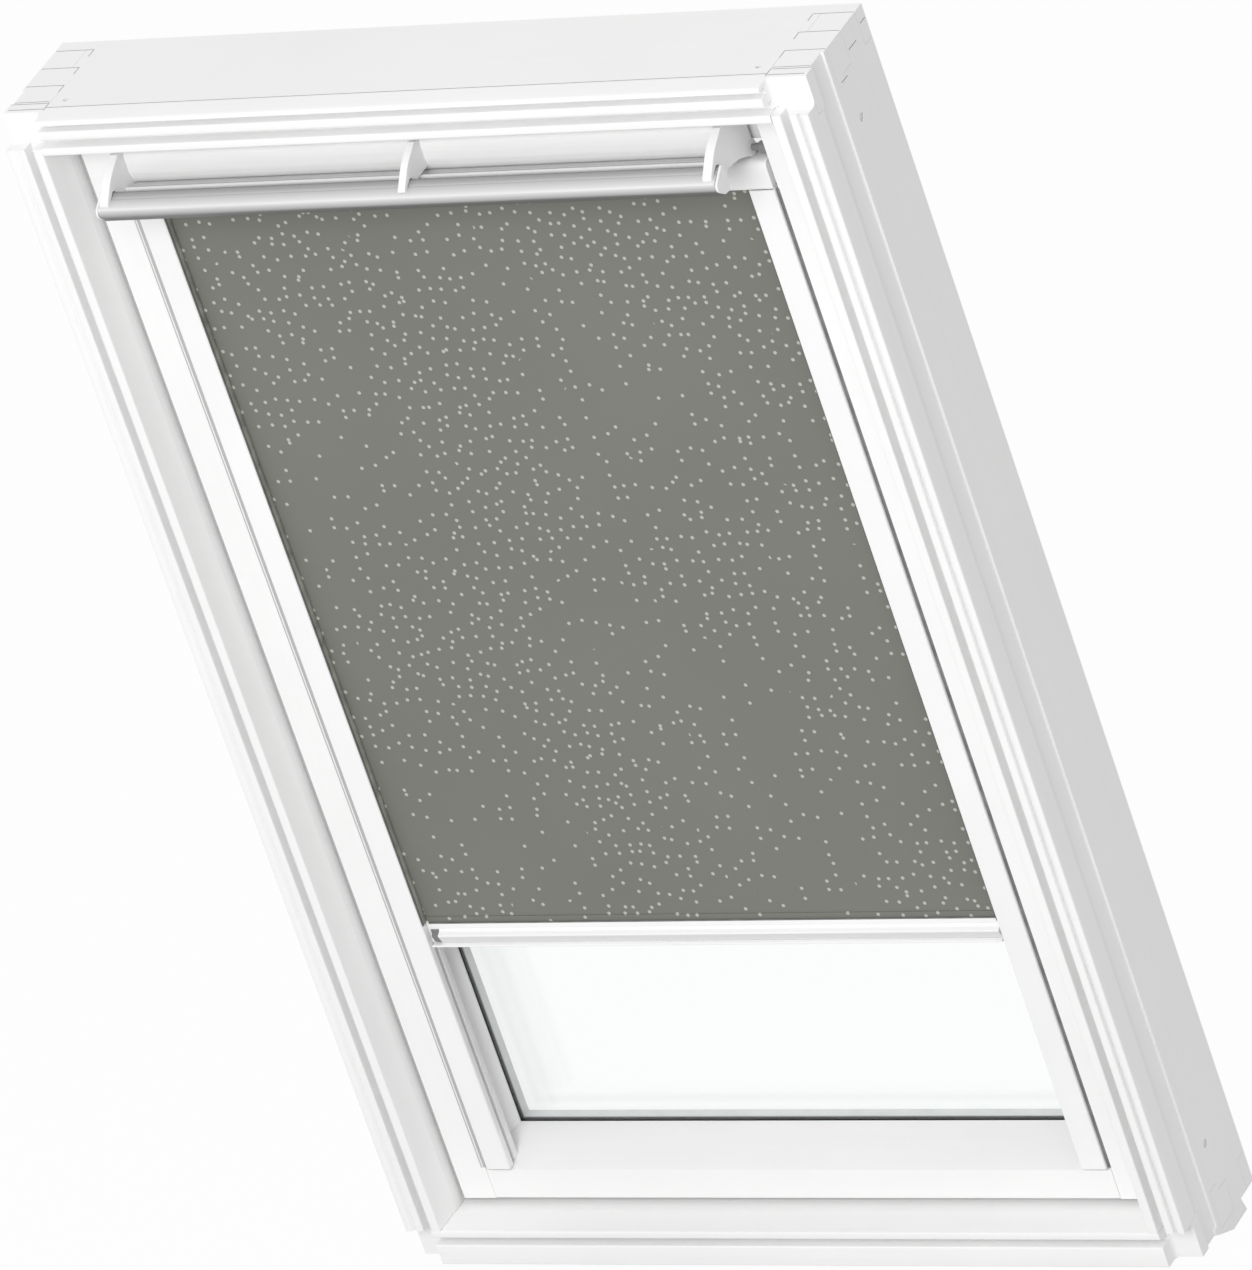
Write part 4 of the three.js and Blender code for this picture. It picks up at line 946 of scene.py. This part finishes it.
class ROOFWINDOW_OT_cloth_roll(bpy.types.Operator):
    """Wind the rest of the cloth on its roller"""

    bl_idname = "roofwindow.cloth_roll"
    bl_label = "Cloth roll"

    def execute(self, context):
        low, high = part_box("blind_fabric_roll")
        tube_low, tube_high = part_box("blind_roller_tube")
        outer = (high.z - low.z) / 2 - 0.1 * MM
        inner = (tube_high.z - tube_low.z) / 2 + 0.2 * MM
        turns = 3
        turn = np.linspace(0, 2 * math.pi * turns, 40 * turns)
        radius = inner + (outer - inner) * turn / turn[-1]
        across, angle = np.meshgrid(np.linspace(low.x, high.x, 25), turn)
        wide = np.broadcast_to(radius[:, None], across.shape)
        centre_y, centre_z = (low.y + high.y) / 2, (low.z + high.z) / 2
        points = np.stack([across, centre_y - wide * np.cos(angle), centre_z + wide * np.sin(angle)], 2)
        uv = np.stack([across, wide * angle], 2)
        piece = mesh_object("cloth_roll", points, grid_faces(*across.shape, False), uv)
        smooth(piece)
        wall = piece.modifiers.new("Thickness", "SOLIDIFY")
        wall.thickness = 0.25 * MM
        wall.offset = 0.0
        finish_piece(piece, FINISHES["cloth"], "blind_roller", ["blind_fabric_roll"])
        return {"FINISHED"}


def bottom_bar_holder():
    """The bottom bar's outer section: a channel with a short top lip and a lower flange."""
    low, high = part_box("blind_bottom_bar")
    back, top = (high.y - low.y) / MM, (high.z - low.z) / MM - 3.2
    web = back - 3
    corners = [
        (back, top), (5.5, top), (5.5, top - 4.6), (web, top - 4.6), (web, 1.9), (0, 1.9), (0, 0), (back, 0)]
    return rounded_outline(low.y, low.z, corners, [0.8, 0.6, 0.5, 0.4, 0.4, 0.7, 0.7, 0.8])


def bottom_bar_roll():
    """The handle roll between lip and flange: its nose stands out below the lip, then it runs back."""
    low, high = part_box("blind_bottom_bar")
    back, top = (high.y - low.y) / MM - 2.6, (high.z - low.z) / MM - 7.6
    corners = [(back, top), (7.4, top), (4.4, 13.6), (0.4, 12), (0.8, 10), (4.4, 2.1), (back, 2.1)]
    return rounded_outline(low.y, low.z, corners, [0.3, 0.8, 1.2, 1.2, 1, 0.6, 0.3])


class ROOFWINDOW_OT_bottom_bar(bpy.types.Operator):
    """Make the bottom bar of the blind: its channel, its handle roll with painted shade below its nose, the
    cloth hem, a dark bead of painted shadow at the hem's foot and the dark end plug
    """

    bl_idname = "roofwindow.bottom_bar"
    bl_label = "Bottom bar"

    def execute(self, context):
        low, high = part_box("blind_bottom_bar")
        rail("bottom_rail", bottom_bar_holder(), np.linspace(low.x, high.x, 3), "coated",
             "blind_bar", ["blind_bottom_bar"])
        seat = high.z - 3.2 * MM
        back, front, over, under = low.y + 8.05 * MM, low.y + 7.6 * MM, high.z + 3 * MM, seat + 0.2 * MM
        beyond = 1.4 * MM
        hem = bar_along_x("cloth_hem", np.array([(back, over), (front, over), (front, under), (back, under)]),
                          np.linspace(low.x - beyond, high.x + beyond, 3))
        map_across(hem)
        finish_piece(hem, FINISHES["cloth"], "blind_bar")
        line, short = low.y + 6.6 * MM, 1 * MM
        # Painted shadow: a dark bead in front of the hem's foot where the cloth meets the bar
        strip("cloth_hem_welt", [(low.x + short, line, seat), (high.x - short, line, seat)],
              (0, 1, 0), (0, 0, 1), (1.7, 0.9, 0.5), "shadow", "blind_bar")
        plug_end = low.x + 9 * MM
        rail("bottom_rail_roll", bottom_bar_roll(), np.linspace(plug_end, high.x - 0.5 * MM, 3),
             "roll", "blind_bar")
        rail("bottom_rail_plug", bottom_bar_roll(), np.linspace(low.x + 2 * MM, plug_end, 3),
             "grey_moulded", "blind_bar", shares=[0.82, 0.9, 0.9])
        return {"FINISHED"}


class ROOFWINDOW_OT_casing_caps(bpy.types.Operator):
    """Close the blind's casing with moulded end caps"""

    bl_idname = "roofwindow.casing_caps"
    bl_label = "Casing end caps"

    def execute(self, context):
        low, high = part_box("blind_casing")
        wall = 1.8
        back, top = (high.y - low.y) / MM - wall, (high.z - low.z) / MM - wall
        outline = rounded_outline(low.y, low.z, [(back, top), (wall, top), (wall, wall), (back, wall)],
                                  [1.0, 4.4, 1.6, 1.0])
        for side, sign in (("right", 1), ("left", -1)):
            plate_low, plate_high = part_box(f"casing_end_plate_{side}")
            inner = min(abs(plate_low.x), abs(plate_high.x))
            outer = abs(high.x if sign > 0 else low.x) - 0.2 * MM
            stations = sign * np.array([inner, outer - 0.8 * MM, outer])
            rail(f"casing_cap_{side}", outline, stations, "moulded", "sash",
                 [f"casing_end_plate_{side}"], [1.0, 1.0, 0.96], 40)
        return {"FINISHED"}


class ROOFWINDOW_OT_joint_lines(bpy.types.Operator):
    """Draw the filled finger joints of the frame's corners and the line of the head's chamfer"""

    bl_idname = "roofwindow.joint_lines"
    bl_label = "Joint lines"

    def execute(self, context):
        low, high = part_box("frame_head")
        jamb_low, jamb_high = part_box("frame_jamb_right")
        inner, outer, top = jamb_low.x, jamb_high.x, high.z
        finger = high.y - 114 * MM + np.array([13.0, 42.0, 71.0, 100.0]) * MM
        across, along, up = (1, 0, 0), (0, 1, 0), (0, 0, 1)
        chamfer = high.y - 108 * MM
        lines = [((-inner, chamfer, top), (inner, chamfer, top), along, up)]
        for sign in (-1, 1):
            for y in finger:
                lines.append(((sign * inner, y, top), (sign * (outer - 1 * MM), y, top), along, up))
                lines.append(((sign * inner, y - 11 * MM, top), (sign * inner, y, top), across, up))
            for y in (high.y - 110.2 * MM, high.y - 98.2 * MM):
                start, end = sign * (inner + 1 * MM), sign * (outer - 3 * MM)
                lines.append(((start, y, top), (end, y, top), along, up))
            for near, far, rise in ((1.8, 11.5, 26.4), (25.3, 40.5, 18.5), (54.4, 66.0, 2.5)):
                z = low.z + rise * MM
                lines.append(((sign * outer, high.y - far * MM, z), (sign * outer, high.y - near * MM, z),
                              up, (sign, 0, 0)))
        piece = beads("corner_joint_lines", *zip(*lines), 0.9 * MM, 0.06 * MM, 0.3 * MM)
        finish_piece(piece, FINISHES["joint"], "frame")
        return {"FINISHED"}


class ROOFWINDOW_OT_side_strips(bpy.types.Operator):
    """Make the grey strips of painted shade beside the blind's channels, the white cover strip on the left,
    and the grey strips of painted shade that close the sash's side gaps
    """

    bl_idname = "roofwindow.side_strips"
    bl_label = "Side strips and gap seals"

    def execute(self, context):
        low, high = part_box("blind_channel_left")
        stile_low, stile_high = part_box("sash_stile_right")
        gap = stile_high.x + 0.4 * MM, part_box("frame_jamb_right")[0].x + 0.2 * MM
        face, gap_strip_face = stile_low.y, stile_low.y + 5 * MM
        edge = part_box("blind_casing")[1].x
        across, towards_room = (1, 0, 0), (0, -1, 0)
        # Painted shade: the grey strips beside the channels stand for the shade of the gaps there
        for side, sign, base_end, finish in (("right", 1, 3.6, "shadow"), ("left", -1, 7.0, "pale_seal")):
            x = sign * (edge + (0.4 + base_end) / 2 * MM)
            strip(f"channel_shadow_strip_{side}", [(x, face, low.z), (x, face, high.z)], across, towards_room,
                  (base_end - 0.4, 0.12, 0.4), finish, "sash")
            # Painted shade: the grey strip closing each side gap of the sash stands for the gap's shade
            x = sign * sum(gap) / 2
            strip(f"side_gap_seal_{side}",
                  [(x, gap_strip_face, stile_low.z + 4 * MM), (x, gap_strip_face, stile_high.z - 4 * MM)],
                  across, towards_room, ((gap[1] - gap[0]) / MM, 2.2, 3), "pale_seal", "frame")
        x = -(edge + 4.85 * MM)
        strip("channel_cover_strip_left", [(x, face, low.z), (x, face, high.z)], across, towards_room,
              (1.3, 0.9, 0.3), "coated", "sash")
        return {"FINISHED"}


class ROOFWINDOW_OT_filter(bpy.types.Operator):
    """Make the ribbed filter strip behind the flap"""

    bl_idname = "roofwindow.filter"
    bl_label = "Air filter"

    def execute(self, context):
        low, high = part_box("air_filter")
        rows, columns = 25, 109
        x = np.linspace(low.x, high.x, columns)
        z = np.linspace(low.z, high.z, rows)
        across, up = np.meshgrid(x, z)
        rib = 0.5 + 0.5 * np.cos(2 * math.pi * (across - low.x) / (10 * MM))
        edge = np.minimum(1.0, np.minimum(up - low.z, high.z - up) / (2 * MM))
        depth = (0.35 + 0.65 * np.sqrt(edge) * (0.8 + 0.2 * rib)) * (high.y - low.y)
        front = np.stack([across, high.y - depth, up], 2)
        back = np.stack([across, np.full_like(across, high.y), up], 2)
        points = np.concatenate([front, back[::-1]], 0)
        loop = points.transpose(1, 0, 2)
        count = loop.shape[1]
        faces = grid_faces(columns, count, True)
        faces.append(list(range(count)))
        faces.append(list(range((columns - 1) * count, columns * count)))
        piece = mesh_object("filter_strip", loop, faces)
        face_out(piece)
        smooth(piece, 50)
        finish_piece(piece, FINISHES["foam"], "sash", ["air_filter"])
        return {"FINISHED"}


# Stage


def white_for_sight(tree, shader_output, white_output):
    """Mixes a shader with a white one that camera, glossy and transmission rays see."""
    path = tree.nodes.new("ShaderNodeLightPath")
    seen = path.outputs["Is Camera Ray"]
    for kind in ("Is Glossy Ray", "Is Transmission Ray"):
        larger = tree.nodes.new("ShaderNodeMath")
        larger.operation = "MAXIMUM"
        tree.links.new(seen, larger.inputs[0])
        tree.links.new(path.outputs[kind], larger.inputs[1])
        seen = larger.outputs[0]
    mix = tree.nodes.new("ShaderNodeMixShader")
    tree.links.new(seen, mix.inputs["Fac"])
    tree.links.new(shader_output, mix.inputs[1])
    tree.links.new(white_output, mix.inputs[2])
    return mix.outputs["Shader"]


def make_world(strength):
    world = bpy.data.worlds.new("Studio")
    bpy.context.scene.world = world
    world.use_nodes = True
    tree = world.node_tree
    soft = tree.nodes["Background"]
    soft.inputs["Color"].default_value = (1.0, 1.0, 1.0, 1.0)
    soft.inputs["Strength"].default_value = strength
    white = tree.nodes.new("ShaderNodeBackground")
    white.inputs["Color"].default_value = (1.0, 1.0, 1.0, 1.0)
    white.inputs["Strength"].default_value = 1.0
    seen = white_for_sight(tree, soft.outputs["Background"], white.outputs["Background"])
    tree.links.new(seen, tree.nodes["World Output"].inputs["Surface"])


def make_floor(size):
    half = size / 2
    points = np.array([[-half, -half, 0], [half, -half, 0], [half, half, 0], [-half, half, 0]], float)
    floor = mesh_object("studio_floor", points, [[0, 1, 2, 3]])
    recipe = Recipe("Pale floor", grey(0.62), 0.9)
    recipe.shader.inputs["Specular IOR Level"].default_value = 0.0
    cloud = recipe.noise(0.6, 2.0)
    recipe.colour(recipe.blend(cloud, grey(0.61), grey(0.63)))
    white = recipe.add("ShaderNodeEmission")
    faint = recipe.add("ShaderNodeMixShader")
    faint.inputs["Fac"].default_value = 0.97
    recipe.link(recipe.shader.outputs["BSDF"], faint.inputs[1])
    recipe.link(white.outputs["Emission"], faint.inputs[2])
    seen = white_for_sight(recipe.tree, recipe.shader.outputs["BSDF"], faint.outputs["Shader"])
    recipe.link(seen, recipe.output.inputs["Surface"])
    floor.data.materials.append(recipe.material)


def add_lamp(name, place, target, power, size):
    light = bpy.data.lights.new(name, "AREA")
    light.shape = "SQUARE"
    light.size = size
    light.energy = power
    lamp = bpy.data.objects.new(name, light)
    bpy.context.scene.collection.objects.link(lamp)
    lamp.location = place
    lamp.rotation_euler = (Vector(target) - Vector(place)).to_track_quat("-Z", "Y").to_euler()


def add_camera(stage):
    """The camera looks along the line given by azimuth and elevation and is then rolled."""
    camera = bpy.data.cameras.new("Photograph")
    camera.lens = stage.lens
    camera.sensor_width = 36.0
    camera.clip_end = 200.0
    holder = bpy.data.objects.new("Photograph", camera)
    bpy.context.scene.collection.objects.link(holder)
    turn, rise = stage.azimuth, stage.elevation
    out = Vector((math.cos(rise) * math.sin(turn), -math.cos(rise) * math.cos(turn), math.sin(rise)))
    facing = out.to_track_quat("Z", "Y").to_matrix().to_4x4() @ Matrix.Rotation(stage.roll, 4, "Z")
    holder.matrix_world = Matrix.Translation(Vector(stage.target) + out * stage.distance) @ facing
    bpy.context.scene.camera = holder


class ROOFWINDOW_OT_stage(bpy.types.Operator):
    """Set up the camera, the soft light and the pale floor"""

    bl_idname = "roofwindow.stage"
    bl_label = "Stage"

    def execute(self, context):
        context.scene.view_settings.view_transform = "Standard"
        stage = context.scene.roof_window_stage
        add_camera(stage)
        make_world(stage.ambient)
        make_floor(stage.floor_size)
        add_lamp("Key light", (0.9, -4.8, 3.6), (0.0, 0.0, 0.6), stage.key_power, 3.0)
        return {"FINISHED"}


OPERATORS = (
    ROOFWINDOW_OT_stage, ROOFWINDOW_OT_finishes, ROOFWINDOW_OT_timber, ROOFWINDOW_OT_folded,
    ROOFWINDOW_OT_flap, ROOFWINDOW_OT_control_bar, ROOFWINDOW_OT_cloth, ROOFWINDOW_OT_cloth_roll,
    ROOFWINDOW_OT_bottom_bar, ROOFWINDOW_OT_casing_caps, ROOFWINDOW_OT_joint_lines,
    ROOFWINDOW_OT_side_strips, ROOFWINDOW_OT_filter,
)


class ROOFWINDOW_PT_panel(bpy.types.Panel):
    """Lists the steps and their settings"""

    bl_idname = "ROOFWINDOW_PT_panel"
    bl_label = "Roof window"
    bl_space_type = "VIEW_3D"
    bl_region_type = "UI"
    bl_category = "Roof window"

    def draw(self, context):
        for operator in OPERATORS:
            self.layout.operator(operator.bl_idname)
        for name, group in SETTINGS:
            box = self.layout.box()
            for key in group.__annotations__:
                box.prop(getattr(context.scene, name), key)


def register():
    for name, group in SETTINGS:
        bpy.utils.register_class(group)
        setattr(bpy.types.Scene, name, PointerProperty(type=group))
    for operator in OPERATORS:
        bpy.utils.register_class(operator)
    bpy.utils.register_class(ROOFWINDOW_PT_panel)


def unregister():
    bpy.utils.unregister_class(ROOFWINDOW_PT_panel)
    for operator in reversed(OPERATORS):
        bpy.utils.unregister_class(operator)
    for name, group in reversed(SETTINGS):
        delattr(bpy.types.Scene, name)
        bpy.utils.unregister_class(group)


def main():
    register()
    bpy.ops.roofwindow.stage()
    bpy.ops.roofwindow.finishes()
    bpy.ops.roofwindow.timber()
    bpy.ops.roofwindow.folded()
    bpy.ops.roofwindow.flap()
    bpy.ops.roofwindow.control_bar()
    bpy.ops.roofwindow.cloth()
    bpy.ops.roofwindow.cloth_roll()
    bpy.ops.roofwindow.bottom_bar()
    bpy.ops.roofwindow.casing_caps()
    bpy.ops.roofwindow.joint_lines()
    bpy.ops.roofwindow.side_strips()
    bpy.ops.roofwindow.filter()


if __name__ == "__main__":
    main()
